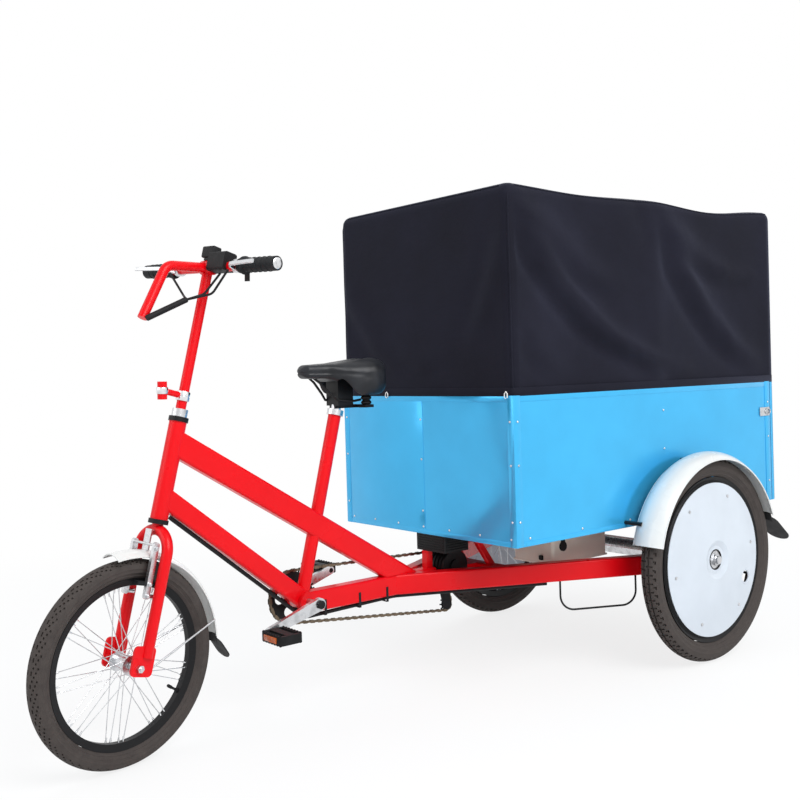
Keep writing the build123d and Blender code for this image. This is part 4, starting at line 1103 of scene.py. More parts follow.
@dataclass
class Hood:
    """Canvas hood: one sheet stretched over three hoops, with a hem strip and hooks."""

    corner: float = 0.03
    cell: float = 0.016
    thickness: float = 0.0022
    first_sag: float = 0.010
    second_sag: float = 0.022
    side_draw: float = 0.012
    side_slack: float = 0.004
    front_draw: float = 0.006
    crown_dip: float = 0.006
    roof_reach: float = 0.14
    hoop_reach: float = 0.07
    rear_rise: float = 0.010
    edge_reach: float = 0.035
    hem_fade: float = 0.08
    seam_radius: float = 0.0026
    hem_height: float = 0.024
    hem_thickness: float = 0.003
    hem_out: float = 0.0012
    hem_corner: float = 0.012
    hook_radius: float = 0.0016
    hook_places: tuple[float, ...] = (-0.16, 0.355)
    side_folds: tuple[Fold, ...] = (
        Fold(((0.0, 0.02), (0.085, 0.28), (0.19, 0.5), (0.32, 0.72), (0.5, 0.86), (0.66, 0.9)), 0.042, 0.023),
        Fold(((0.02, 0.03), (0.14, 0.22), (0.26, 0.40), (0.4, 0.48)), 0.055, 0.013),
        Fold(((0.52, 0.03), (0.6, 0.3), (0.71, 0.57), (0.84, 0.8), (0.97, 0.92)), 0.046, 0.019),
        Fold(((0.53, 0.05), (0.66, 0.26), (0.8, 0.36), (0.93, 0.34)), 0.05, 0.012),
        Fold(((0.06, 0.62), (0.1, 0.8), (0.17, 0.93)), 0.04, 0.005),
    )
    front_folds: tuple[Fold, ...] = (
        Fold(((0.02, 0.3), (0.1, 0.52), (0.24, 0.74), (0.4, 0.86)), 0.06, 0.007),
        Fold(((0.98, 0.2), (0.9, 0.5), (0.78, 0.8)), 0.05, 0.005),
        Fold(((0.35, 0.75), (0.5, 0.82), (0.7, 0.8)), 0.05, 0.004),
    )

    def build(self) -> None:
        """Make the sheet, its seams, hem and hooks."""
        low_front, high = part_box("hood_front")
        self.low = Vector((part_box("hood_roof")[0].x, low_front.y, low_front.z))
        self.high = Vector((high.x, high.y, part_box("hood_roof")[1].z))
        sheet = self._panel_shell()
        set_vertices(sheet, self._bent(vertex_array(sheet)))
        self._finish(sheet)
        self._seams()
        self._hem()
        self._hooks()

    def _panel_shell(self) -> bpy.types.Object:
        """Five-sided shell with rounded edges, cut into small cells and open at the foot and rear.

        Returns:
            The shell.
        """
        middle = (self.low + self.high) / 2
        span = self.high - self.low
        Bench.clear()
        bpy.ops.mesh.primitive_cube_add(size=1.0, location=middle, scale=span)
        sheet = Bench.named("hood_sheet")
        Bench.edit(sheet)
        Bench.pick(sheet, Pick.FACES, lambda face: face.normal.z < -0.9 or face.normal.x < -0.9)
        bpy.ops.mesh.delete(type="FACE")
        Bench.pick(sheet, Pick.EDGES, lambda edge: len(edge.link_faces) == 2)
        bpy.ops.mesh.bevel(offset=self.corner, segments=5, profile=0.5)
        for number in range(3):
            count = int(span[number] / self.cell)
            normal = [0.0, 0.0, 0.0]
            normal[number] = 1.0
            for step in range(1, count):
                place = list(middle)
                place[number] = self.low[number] + span[number] * step / count
                bpy.ops.mesh.select_all(action="SELECT")
                bpy.ops.mesh.bisect(plane_co=place, plane_no=normal)
        Bench.close(sheet, 80.0)
        return sheet

    def _bent(self, rows: np.ndarray) -> np.ndarray:
        """Places on the plain hood pulled into its sags, draws and folds.

        Args:
            rows: places, one row each.

        Returns:
            The places after the cloth has settled.
        """
        span = self.high - self.low
        back = (self.high.x - rows[:, 0]) / span.x
        left = (rows[:, 1] - self.low.y) / span.y
        down = (self.high.z - rows[:, 2]) / span.z
        roof = np.clip(1 - down / self.roof_reach, 0, 1) ** 0.7
        bay = np.where(back < 0.5, self.first_sag, self.second_sag)
        swell = np.sin(np.pi * np.clip(back * 2 % 1, 0, 1)) ** 2
        crown = np.sin(np.pi * np.clip(left, 0, 1))
        between_hoops = 1 - np.abs(np.cos(2 * np.pi * back))
        dip = bay * swell * (0.75 + 0.6 * crown) * roof + self.crown_dip * crown * roof * between_hoops
        rear_rise = self.rear_rise * np.clip((back - 0.5) * 2, 0, 1) * roof
        hang = np.sin(np.pi * np.clip(down, 0, 1)) ** 0.8
        held = np.exp(-((back * 2 - np.round(back * 2)) / self.hoop_reach) ** 2)
        foot_fade = np.clip((1 - down) / self.hem_fade, 0, 1)
        for sign, edge in ((LEFT, self.high.y), (RIGHT, self.low.y)):
            wall = np.clip(1 - np.abs(rows[:, 1] - edge) / self.edge_reach, 0, 1)
            lift = sum(fold.lift(back, down) for fold in self.side_folds)
            lift = lift * foot_fade * np.clip(back / 0.03, 0.25, 1)
            shift = lift - self.side_draw * hang * swell - self.side_slack
            rows[:, 1] += sign * wall * (np.maximum(shift, 0) + np.minimum(shift, 0) * (1 - held))
        ahead = np.clip(1 - (self.high.x - rows[:, 0]) / self.edge_reach, 0, 1)
        lift = sum(fold.lift(left, down) for fold in self.front_folds)
        lift = lift * foot_fade * np.clip(np.minimum(left, 1 - left) / 0.04, 0, 1)
        rows[:, 0] += ahead * (lift - self.front_draw * hang * crown)
        rows[:, 2] += rear_rise - dip
        return rows

    def _finish(self, sheet: bpy.types.Object) -> None:
        """Thickness and smooth shading, painted and set on the chassis in place of the CAD hood.

        Args:
            sheet: the shaped hood.
        """
        Bench.only(sheet)
        bpy.ops.object.shade_smooth()
        wall = sheet.modifiers.new("cloth", "SOLIDIFY")
        wall.thickness = self.thickness
        wall.offset = -1.0
        bpy.ops.object.modifier_apply(modifier=wall.name)
        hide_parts("hood_front", "hood_roof", "hood_sides")
        settle(sheet, Paint.HOOD, "chassis")

    def _seams(self) -> None:
        """Piped seams up both front corners, round onto the roof's sides, and over the front edge."""
        inset = self.corner * 0.29
        turn = self.corner + inset
        front, top = self.high.x - inset, self.high.z - inset
        seams = []
        for side in (self.low.y + inset, self.high.y - inset):
            rise = [(front, side, height) for height in np.linspace(self.low.z + 0.01, top - turn, 40)]
            bend = [(front - turn + turn * math.cos(angle), side, top - turn + turn * math.sin(angle))
                    for angle in np.linspace(0.15, math.pi / 2, 9)]
            run = [(place, side, top) for place in np.linspace(front - turn - 0.01, self.low.x + 0.004, 80)]
            seams.append(rise + bend + run)
        across = np.linspace(self.low.y + turn, self.high.y - turn, 46)
        seams.append([(front, place, top) for place in across])
        cords = []
        for number, line in enumerate(seams):
            settled = self._bent(np.array(line))
            cords.append(Bench.wire(f"hood_seam_{number}", [tuple(row) for row in settled], self.seam_radius))
        piping = Bench.joined("hood_seams", cords)
        settle(piping, Paint.HOOD, "chassis")

    def _hem(self) -> None:
        """Stitched band round the foot of the hood."""
        corner = self.hem_corner
        front, left = self.high.x + self.hem_out, self.high.y + self.hem_out
        turn = [(front - corner + corner * math.sin(angle), left - corner + corner * math.cos(angle))
                for angle in np.linspace(0, math.pi / 2, 5)]
        half = [(self.low.x, left), (self.low.x / 2 + front / 2, left), *turn]
        path = half + [(x, -y) for x, y in reversed(half)]
        band = Bench.profile("hood_hem", [(x, y, self.low.z - 0.003) for x, y in path])
        bpy.ops.mesh.extrude_region_move(TRANSFORM_OT_translate={"value": (0, 0, self.hem_height)})
        Bench.close(band, 50.0)
        wall = band.modifiers.new("band", "SOLIDIFY")
        wall.thickness = self.hem_thickness
        wall.offset = -1.0
        round_off = band.modifiers.new("edges", "BEVEL")
        round_off.width = 0.0008
        for modifier in (wall, round_off):
            bpy.ops.object.modifier_apply(modifier=modifier.name)
        settle(band, Paint.HOOD, "chassis")

    def _hooks(self) -> None:
        """White wire hooks that hold the front hem down."""
        hooks = []
        for number, place in enumerate(self.hook_places):
            x, z = self.high.x + 0.0028, self.low.z
            line = [(x - 0.002, place, z - 0.008), (x + 0.003, place, z - 0.004),
                    (x + 0.002, place, z + 0.006), (x + 0.002, place + 0.005, z + 0.011),
                    (x + 0.002, place + 0.010, z + 0.006), (x + 0.002, place + 0.010, z - 0.006)]
            hooks.append(Bench.wire(f"hem_hook_{number}", line, self.hook_radius))
        settle(Bench.joined("hem_hooks", hooks), Paint.CORD_WHITE, "chassis")


@dataclass
class Tread:
    """Groove plan of a tyre: repeats round the tyre, cells in each, and the cut cells by row."""

    repeats: int
    cells: int
    depth: float

    def cut(self, step: int, row: int, rows: int) -> bool:
        """Whether one cell of the tread is a groove.

        Args:
            step: cell round the tyre.
            row: cell across the tread.
            rows: cells across the whole tread.

        Returns:
            True for a groove.
        """
        raise NotImplementedError


class StreetTread(Tread):
    """Curved grooves that sweep back from a plain middle rib to the shoulders."""

    def cut(self, step: int, row: int, rows: int) -> bool:
        """Whether one cell of the tread is a groove.

        Args:
            step: cell round the tyre.
            row: cell across the tread.
            rows: cells across the whole tread.

        Returns:
            True for a groove.
        """
        middle = (rows - 1) / 2
        out = abs(row - middle)
        if out < 1:
            return False
        if 1 <= out < 2:
            return step % self.cells in (0, 1)
        lean = round((out - 1) ** 1.4)
        return (step + lean) % self.cells == 0


class BlockTread(Tread):
    """Rows of blocks between two waved grooves, with notched shoulders."""

    def cut(self, step: int, row: int, rows: int) -> bool:
        """Whether one cell of the tread is a groove.

        Args:
            step: cell round the tyre.
            row: cell across the tread.
            rows: cells across the whole tread.

        Returns:
            True for a groove.
        """
        middle = (rows - 1) / 2
        out = abs(row - middle)
        place = step % self.cells
        if out >= rows / 2 - 2:
            return place in (0, 1) if out >= rows / 2 - 1 else place == 0
        if 1.5 <= out < 2.5:
            return True
        wave = 2 if row < middle else 0
        return (step + wave) % self.cells == 0


@dataclass
class Tyre:
    """Treaded tyre that takes the place of a plain casing."""

    node: str
    body: str
    radius: float
    rim: float
    width: float
    tread: Tread
    rows: int = 12
    crown_angle: float = math.radians(62)
    crown_share: float = 0.2
    tread_share: float = 0.9
    wall: Line = ((0.07, 0.52), (0.17, 0.68), (0.2, 0.74), (0.23, 0.73), (0.34, 0.88), (0.37, 0.95),
                  (0.41, 0.93), (0.53, 0.97), (0.56, 1.0), (0.6, 0.975), (0.7, 0.96))

    def build(self) -> None:
        """Spin the casing, cut the grooves and seat it on its wheel."""
        self.steps = self.tread.repeats * self.tread.cells
        self.tread_half = self.width / 2 * self.tread_share
        self.tread_from = self.radius - (self.radius - self.rim) * self.crown_share
        tyre = self._casing()
        self._cut_grooves(tyre)
        self._seat(tyre, middle(self.node))

    def _casing(self) -> bpy.types.Object:
        """Ring from its section: walls with three ribs, rounded tread, flat inner side.

        Returns:
            The plain casing.
        """
        depth = self.radius - self.rim
        edge = [(self.rim + depth * rise, self.width / 2 * out) for rise, out in self.wall]
        edge_cos = math.cos(self.crown_angle)
        crown = []
        for index in range(self.rows + 1):
            angle = self.crown_angle * (1 - 2 * index / self.rows)
            lift = (self.radius - self.tread_from) * (math.cos(angle) - edge_cos) / (1 - edge_cos)
            reach = self.tread_half * math.sin(angle) / math.sin(self.crown_angle)
            crown.append((self.tread_from + lift, reach))
        section = edge + crown + [(radius, -y) for radius, y in reversed(edge)]
        points = [(0.0, y, radius) for radius, y in section]
        return Bench.spun(self.node + "_treaded", points, (0, 1, 0), self.steps)

    def _cut_grooves(self, tyre: bpy.types.Object) -> None:
        """Press the groove cells in.

        Args:
            tyre: the plain casing.
        """
        def grooved(face: bmesh.types.BMFace) -> bool:
            """Whether a face lies in a groove.

            Args:
                face: a face of the casing.

            Returns:
                True for a groove.
            """
            centre = face.calc_center_median()
            if math.hypot(centre.x, centre.z) < self.tread_from:
                return False
            share = centre.y / self.tread_half * math.sin(self.crown_angle)
            angle = math.asin(max(-1.0, min(1.0, share)))
            row = int((self.crown_angle - angle) / (2 * self.crown_angle) * self.rows)
            turn = math.atan2(centre.x, centre.z) % (2 * math.pi)
            return self.tread.cut(int(turn / (2 * math.pi) * self.steps), row, self.rows)

        Bench.edit(tyre)
        picked = Bench.pick(tyre, Pick.FACES, grooved)
        sink = {"value": -self.tread.depth}
        bpy.ops.mesh.extrude_region_shrink_fatten(TRANSFORM_OT_shrink_fatten=sink)
        LOG.info("%s: %d groove cells", tyre.name, picked)
        Bench.clear()

    def _seat(self, tyre: bpy.types.Object, centre: Vector) -> None:
        """Turn the tyre to its axle and dress it.

        Args:
            tyre: the grooved casing.
            centre: middle of its wheel.
        """
        axis = joint_axis(self.body)
        turn = Vector((0, 1, 0)).rotation_difference(axis).to_matrix().to_4x4()
        Bench.only(tyre)
        bpy.ops.object.shade_smooth_by_angle(angle=math.radians(32))
        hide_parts(self.node)
        settle(tyre, Paint.TYRE, self.body, Matrix.Translation(centre) @ turn)


def joint_axis(body: str) -> Vector:
    """Axis of the joint that carries a body, in the rest frame.

    Args:
        body: name of the body.

    Returns:
        The unit axis.
    """
    for joint in frame["record"]["behaviour"]["joints"]:
        if joint["child"] == body:
            return Vector(joint["axis"]).normalized()
    raise KeyError(body)


def joint_place(body: str) -> Vector:
    """Point on the axis of the joint that carries a body.

    Args:
        body: name of the body.

    Returns:
        The point.
    """
    for joint in frame["record"]["behaviour"]["joints"]:
        if joint["child"] == body:
            return Vector(joint["pos_m"])
    raise KeyError(body)


@dataclass
class SaddlePad:
    """Vinyl saddle: slim nose, broad rear with hanging wings, sunk middle and a welt along its side.

    Top, foot, half width and hollow are shares of the saddle's box at stations from nose to rear.
    """

    rings: int = 90
    segments: int = 96
    top: Line = ((0.0, 0.76), (0.05, 0.83), (0.4, 0.87), (0.7, 0.95), (0.88, 1.0), (0.96, 0.97), (1.0, 0.86))
    foot: Line = ((0.0, 0.54), (0.06, 0.47), (0.3, 0.45), (0.36, 0.40), (0.45, 0.12), (0.54, -0.04),
                  (0.62, -0.07), (0.88, -0.06), (0.96, 0.08), (1.0, 0.3))
    half: Line = ((0.0, 0.16), (0.06, 0.26), (0.28, 0.38), (0.42, 0.62), (0.54, 0.82), (0.66, 0.95),
                  (0.78, 1.0), (0.9, 0.98), (1.0, 0.78))
    hollow: Line = ((0.0, 0.0), (0.28, 0.0), (0.4, 0.47), (0.85, 0.47), (0.93, 0.2), (1.0, 0.0))
    hollow_half: float = 0.058
    groove_depth: float = 0.006
    seam_depth: float = 0.0022
    seam_half: float = 0.003
    seam: Line = ((0.0, 0.62), (0.4, 0.6), (0.75, 0.50), (1.0, 0.55))
    rail: tuple[tuple[float, float, float], ...] = (
        (0.16, 0.010, 0.50), (0.24, 0.013, 0.36), (0.36, 0.020, 0.06),
        (0.44, 0.0315, -0.12), (0.66, 0.0325, -0.16), (0.74, 0.036, -0.13))
    rail_radius: float = 0.0035

    def build(self) -> None:
        """Shape a sphere into the saddle and dress it."""
        low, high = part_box("saddle")
        span = high - low
        Bench.clear()
        bpy.ops.mesh.primitive_uv_sphere_add(segments=self.segments, ring_count=self.rings, radius=1.0,
                                             rotation=(0, math.pi / 2, 0))
        pad = Bench.named("saddle_pad")
        rows = vertex_array(pad)
        back = np.arccos(np.clip(rows[:, 0], -1, 1)) / math.pi
        share = 0.5 - 0.5 * np.cos(math.pi * back)
        turn = np.arctan2(rows[:, 2], rows[:, 1])
        cap = np.clip(np.sin(math.pi * back) * 1.9, 0, 1) ** 0.6
        top, foot, half = (self._smooth(share, line) for line in (self.top, self.foot, self.half))
        square = np.where(np.sin(turn) < 0, 0.5, 0.66)
        side = np.sign(np.cos(turn)) * np.abs(np.cos(turn)) ** square
        level = np.sign(np.sin(turn)) * np.abs(np.sin(turn)) ** square
        tall = (top - foot) / 2 * cap
        rows[:, 0] = high.x - share * span.x
        rows[:, 1] = side * half * cap * span.y / 2
        rows[:, 2] = low.z + ((top + foot) / 2 + level * tall) * span.z
        groove_ends = np.clip((share - 0.3) * 3, 0, 1) * np.clip((0.99 - share) * 6, 0, 1)
        groove = np.exp(-(side / 0.2) ** 2) * groove_ends
        rows[:, 2] -= np.where(level > 0.1, self.groove_depth * groove, 0)
        roof = low.z + self._smooth(share, self.hollow) * span.z
        between_wings = 1 - np.clip((np.abs(rows[:, 1]) - self.hollow_half) / 0.02, 0, 1)
        lifted = np.maximum(rows[:, 2], roof)
        rows[:, 2] = np.where(level < 0, rows[:, 2] + between_wings * (lifted - rows[:, 2]), rows[:, 2])
        set_vertices(pad, rows)
        Bench.close(pad, 60.0)
        self._press_seam(pad, low.z, span.z)
        Bench.only(pad)
        bpy.ops.object.shade_smooth()
        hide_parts("saddle")
        settle(pad, Paint.VINYL, "chassis")
        self._rails(low, high)

    def _rails(self, low: Vector, high: Vector) -> None:
        """Bent wire rails from the nose back past the clamp.

        Args:
            low: lowest corner of the saddle's box.
            high: highest corner.
        """
        span = high - low
        rails = []
        for sign in (LEFT, RIGHT):
            line = [(high.x - share * span.x, sign * out, low.z + rise * span.z)
                    for share, out, rise in self.rail]
            rails.append(Bench.wire("saddle_rail", line, self.rail_radius))
        settle(Bench.joined("saddle_rails", rails), Paint.BLACK, "chassis")

    @staticmethod
    def _smooth(share: np.ndarray, line: Line) -> np.ndarray:
        """Values along the saddle with their corners rounded off.

        Args:
            share: places from nose to rear.
            line: stations and values.

        Returns:
            A value for each place.
        """
        stations, values = zip(*line)
        fine = np.interp(np.linspace(0, 1, 201), stations, values)
        for _ in range(40):
            fine[1:-1] = (fine[:-2] + 2 * fine[1:-1] + fine[2:]) / 4
        return np.interp(share, np.linspace(0, 1, 201), fine)

    def _press_seam(self, pad: bpy.types.Object, low: float, span: float) -> None:
        """Draw the welt in along the side.

        Args:
            pad: the shaped saddle.
            low: foot of the saddle's box.
            span: height of the box.
        """
        rows = vertex_array(pad)
        normals = np.array([vertex.normal for vertex in pad.data.vertices])
        share = (rows[:, 0].max() - rows[:, 0]) / np.ptp(rows[:, 0])
        line = low + span * np.interp(share, *zip(*self.seam))
        pull = np.exp(-((rows[:, 2] - line) / self.seam_half) ** 2) * (np.abs(normals[:, 2]) < 0.85)
        set_vertices(pad, rows - normals * (pull * self.seam_depth)[:, None])


def steer_frame() -> Matrix:
    """Steering frame as parked: X ahead, Y along the bar, Z up the steering axis, origin at its foot.

    Returns:
        The frame.
    """
    up = joint_axis("steering")
    side = joint_axis("front_wheel")
    rows = Matrix((side.cross(up), side, up)).transposed().to_4x4()
    return Matrix.Translation(joint_place("steering")) @ rows


def settle(obj: bpy.types.Object, paint: Paint, body: str, place: Matrix | None = None) -> None:
    """Paint a finished piece and let it ride a body.

    Args:
        obj: the piece.
        paint: its finish.
        body: body that it moves with.
        place: where it goes, when it was made at the origin.
    """
    if place is not None:
        obj.data.transform(place)
        obj.data.update()
    wear(obj, paint.made())
    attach(obj, body)


@dataclass
class BoxTrim:
    """Folded edges, lap seam, rivets, tailgate ribs, latches and floor ribs of the sheet box."""

    lip: float = 0.0016
    lap: float = 0.0009
    seam_y: float = 0.006
    corner_width: float = 0.022
    corner_return: float = 0.026
    foot_band: float = 0.014
    top_band: float = 0.018
    rear_band: float = 0.03
    rivet: float = 0.0034
    foot_row: float = 0.022
    front_inset: float = 0.012
    side_inset: float = 0.014
    lap_inset: float = 0.008
    middle_row: float = 0.10
    front_foot: tuple[float, ...] = (-0.345, -0.235, -0.12, -0.002, 0.112, 0.24, 0.362)
    side_foot: tuple[float, ...] = (0.72, 0.50, 0.28, 0.06, -0.16, -0.38)
    edge_heights: tuple[float, ...] = (0.07, 0.225, 0.345)
    gate_depth: float = 0.020
    gate_rim: float = 0.03
    gate_rib_half: float = 0.02
    gate_band: float = 0.026
    gate_fold: float = 0.004
    latch_drop: float = 0.12
    latch_size: tuple[float, float, float] = (0.06, 0.004, 0.03)
    bail_size: tuple[float, float] = (0.016, 0.009)
    bail_radius: float = 0.0016
    floor_ribs: int = 9
    floor_rib_half: float = 0.012
    floor_rib_inset: float = 0.07

    def build(self) -> None:
        """Dress the panels."""
        low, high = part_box("box_front")
        side_low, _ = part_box("box_sides")
        self.front_x, self.half = high.x, high.y
        self.foot, self.top = low.z, high.z
        self.rear_x = side_low.x
        self.axle_x = middle("rear_tyre_left").x
        self._folds()
        self._rivets()
        self._gate()
        self._latches()
        self._floor_ribs()

    def _folds(self) -> None:
        """Sheet edges folded over the corners, foot and top, and the lap seam in the front panel.

        Folds sink and end at slightly different depths, so that no two faces lie in one plane.
        """
        proud, thin, edge = self.lip, self.lip * 0.7, self.lip * 0.3
        front, rear, half, foot, top = self.front_x, self.rear_x, self.half, self.foot, self.top
        short_foot, short_top = foot + 0.0003, top - 0.0003
        inner = half - 0.01
        bands = ((foot + 0.0007, foot + self.foot_band), (top - self.top_band, top - 0.0007))
        blocks = []
        for sign in (LEFT, RIGHT):
            near, far = mirrored(sign, half - self.corner_width, half + proud)
            blocks.append(((front - 0.0021, near, foot), (front + proud, far, top), edge))
            near, far = mirrored(sign, half - 0.0019, half + proud * 1.1)
            blocks.append(((front - self.corner_return, near, short_foot),
                           (front + proud * 0.9, far, short_top), edge))
            near, far = mirrored(sign, half - 0.0017, half + thin)
            for base, crest in bands:
                blocks.append(((rear + 0.02, near, base), (front - 0.01, far, crest), edge))
            near, far = mirrored(sign, half - 0.0023, half + proud)
            blocks.append(((rear, near, short_foot), (rear + self.rear_band, far, short_top), edge))
        for base, crest in bands:
            blocks.append(((front - 0.0017, -inner, base), (front + thin, inner, crest), edge))
        blocks.append(((front - 0.0027, -inner, foot + 0.0011),
                       (front + self.lap, self.seam_y, top - 0.0011), 0.0003))
        settle(Bench.slabs("box_folds", blocks), Paint.BLUE, "chassis")

    def _rivets(self) -> None:
        """Pop rivets along the seams."""
        ahead = Vector((1, 0, 0))
        foot_z = self.foot + self.foot_row
        edge_y = self.half - self.front_inset
        places = [along(ahead, Vector((self.front_x + self.lap * 0.5, y, foot_z))) for y in self.front_foot]
        heights = [self.foot + height for height in self.edge_heights]
        for z in heights:
            for y in (-edge_y, edge_y):
                places.append(along(ahead, Vector((self.front_x + self.lip, y, z))))
            places.append(along(ahead, Vector((self.front_x + self.lap, self.seam_y - self.lap_inset, z))))
        for sign in (LEFT, RIGHT):
            way = Vector((0, sign, 0))
            flat, folded = sign * self.half, sign * (self.half + self.lip)
            spots = [(self.axle_x + x, flat, foot_z) for x in self.side_foot]
            for z in heights:
                spots.append((self.front_x - self.side_inset, folded, z))
                spots.append((self.rear_x + self.side_inset, folded, z))
                spots.append((self.axle_x + self.middle_row, flat, z))
            places += [along(way, Vector(spot)) for spot in spots]
        rivets = Bench.scatter("box_rivets", Bench.dome("rivet", self.rivet), places)
        settle(rivets, Paint.ZINC, "chassis")

    def _gate(self) -> None:
        """Folded rim and stiffening ribs of the tailgate, the bands sunk a little below the ribs."""
        face = self.rear_x - self.gate_depth - self.lip
        foot, half, rim, rib = self.foot + 0.004, self.half, self.gate_rim, self.gate_rib_half
        sink = 0.0006
        back = face + self.gate_fold
        blocks = []
        for near, far in ((-half, -half + rim), (half - rim, half), (-rib, rib)):
            blocks.append(((face, near, foot), (back, far, self.top), 0.0012))
        for base in (foot + sink, self.top - self.gate_band - sink):
            blocks.append(((face + sink, -half + 0.01, base),
                           (back + sink, half - 0.01, base + self.gate_band), 0.0008))
        settle(Bench.slabs("gate_folds", blocks), Paint.BLUE, "tailgate")

    def _latches(self) -> None:
        """Over-centre latches on both sides, each a plate with a wire bail."""
        length, depth, height = self.latch_size
        long, tall = self.bail_size
        z = self.top - self.latch_drop
        plate_x, bail_x = self.rear_x + 0.006, self.rear_x + 0.02
        latches = []
        for sign in (LEFT, RIGHT):
            near, far = mirrored(sign, self.half + 0.001, self.half + 0.001 + depth)
            corner = (plate_x + length, far, z + height)
            latches.append(Bench.slab("latch", (plate_x, near, z), corner, 0.0012))
            bail_y = sign * (self.half + 0.007)
            ring = [(bail_x + long * math.cos(angle), bail_y, z + height / 2 + tall * math.sin(angle))
                    for angle in np.linspace(0, 2 * math.pi, 16, endpoint=False)]
            latches.append(Bench.wire("latch_bail", ring, self.bail_radius, closed=True))
        settle(Bench.joined("gate_latches", latches), Paint.ZINC, "chassis")

    def _floor_ribs(self) -> None:
        """Shallow pressed ribs along the load floor."""
        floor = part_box("box_floor")[1].z
        half = self.floor_rib_half
        reach = self.half - self.floor_rib_inset
        rear, front = self.rear_x + 0.03, self.front_x - 0.05
        blocks = [((rear, y - half, floor - 0.001), (front, y + half, floor + 0.0025), 0.0015)
                  for y in np.linspace(-reach, reach, self.floor_ribs)]
        settle(Bench.slabs("floor_ribs", blocks), Paint.DARK_FLOOR, "chassis")


@dataclass
class WheelTrim:
    """Nipples and valve of a spoked wheel, with the screws and rings of its disc where it has one, and a
    black ring of painted shade between the disc's edge and the rim.

    Turned pieces are given by their (radius, height) profiles.
    """

    body: str
    rim: float
    tilt: Matrix
    outward: int = 0
    spokes: int = 36
    lean: float = 48.0
    rim_depth: float = 0.015
    spoke_side: float = 0.003
    nipple: Line = ((0.0, 0.0), (0.0026, 0.0), (0.0026, 0.007), (0.0018, 0.013), (0.0, 0.013))
    valve: Line = ((0.0, 0.0), (0.006, 0.0), (0.006, 0.004), (0.0032, 0.005), (0.0032, 0.02), (0.0042, 0.021),
                   (0.0042, 0.033), (0.003, 0.035), (0.0, 0.035))
    cover_y: float = 0.0245
    hole_out: float = 0.183
    hole_angle: float = 205.0
    screws: int = 6
    screw_out: float = 0.205
    screw_start: float = 8.0
    screw_sink: float = 0.001
    screw: Line = ((0.0, 0.0), (0.0055, 0.0), (0.005, 0.0016), (0.002, 0.0024), (0.0, 0.0024))
    # profile of the black ring between the disc's edge and the rim: painted shade that closes the gap
    seal: Line = ((0.2285, 0.0172), (0.2405, 0.0172), (0.2460, 0.0120), (0.2460, 0.0095), (0.2370, 0.0095),
                  (0.2285, 0.0150))
    cup_ring: Line = ((0.0285, 0.0235), (0.0285, 0.0268), (0.0300, 0.0275), (0.0318, 0.0270),
                      (0.0322, 0.0258), (0.0300, 0.0235))
    hole_ring: Line = ((0.0185, -0.003), (0.0185, 0.0), (0.0215, 0.0022), (0.0245, 0.0016), (0.0255, -0.001),
                       (0.0205, -0.003))

    def build(self) -> None:
        """Dress the wheel."""
        self._nipples()
        self._valve()
        if self.outward:
            self._cover_screws()
            self._cover_rings()

    @staticmethod
    def _spot(radius: float, angle: float, side: float) -> Vector:
        """Point on the wheel, the angle running as the spokes do.

        Args:
            radius: distance from the axle.
            angle: turn from straight ahead, radians.
            side: place along the axle.

        Returns:
            The point.
        """
        return Vector((radius * math.cos(angle), side, -radius * math.sin(angle)))

    def _in_from_rim(self, angle: float, side: float) -> Matrix:
        """Place on the rim's inner side that points to the axle.

        Args:
            angle: turn from straight ahead, radians.
            side: place along the axle.

        Returns:
            The place.
        """
        return along(-self._spot(1.0, angle, 0.0), self._spot(self.rim - self.rim_depth, angle, side))

    def _nipples(self) -> None:
        """Spoke nipples that stand in from the rim."""
        places = []
        for index in range(self.spokes):
            side = self.spoke_side if index % 2 else -self.spoke_side
            lean = self.lean if index % 4 < 2 else -self.lean
            places.append(self._in_from_rim(math.radians(360 * index / self.spokes + lean), side))
        nipples = Bench.scatter(self.body + "_nipples", Bench.knob("nipple", self.nipple, 8), places)
        settle(nipples, Paint.CHROME, self.body, self.tilt)

    def _valve(self) -> None:
        """Tyre valve with its cap and lock nut, half a spoke beside the cover's hole."""
        angle = math.radians(self.hole_angle - 180 / self.spokes)
        stem = Bench.knob(self.body + "_valve", self.valve, 12)
        settle(stem, Paint.PLASTIC, self.body, self.tilt @ self._in_from_rim(-angle, 0.0))

    def _cover_screws(self) -> None:
        """Screws round the disc."""
        out = Vector((0, self.outward, 0))
        side = self.outward * (self.cover_y - self.screw_sink)
        places = []
        for index in range(self.screws):
            angle = math.radians(self.screw_start + 360 / self.screws * index)
            places.append(along(out, self._spot(-self.screw_out, angle, side)))
        screws = Bench.scatter(self.body + "_screws", Bench.knob("cover_screw", self.screw, 12), places)
        settle(screws, Paint.ZINC, self.body, self.tilt)

    def _cover_rings(self) -> None:
        """Black ring round the disc's edge, shaped as a rolled lip, that stands in for the shade in the gap
        between the disc and the rim; ring in its hub hole and rolled ring in its valve hole.
        """
        out = Vector((0, self.outward, 0))
        # the black ring round the disc is painted shade in the gap between the disc and the rim
        for name, profile, steps in (("_seal", self.seal, 96), ("_cup_ring", self.cup_ring, 48)):
            ring = Bench.knob(self.body + name, profile, steps)
            settle(ring, Paint.PLASTIC, self.body, self.tilt @ along(out, Vector()))
        turn = math.radians(self.hole_angle)
        centre = self._spot(self.hole_out, -turn, self.outward * self.cover_y)
        ring = Bench.knob(self.body + "_hole_ring", self.hole_ring, 36)
        settle(ring, Paint.COVER_WHITE, self.body, self.tilt @ along(out, centre))


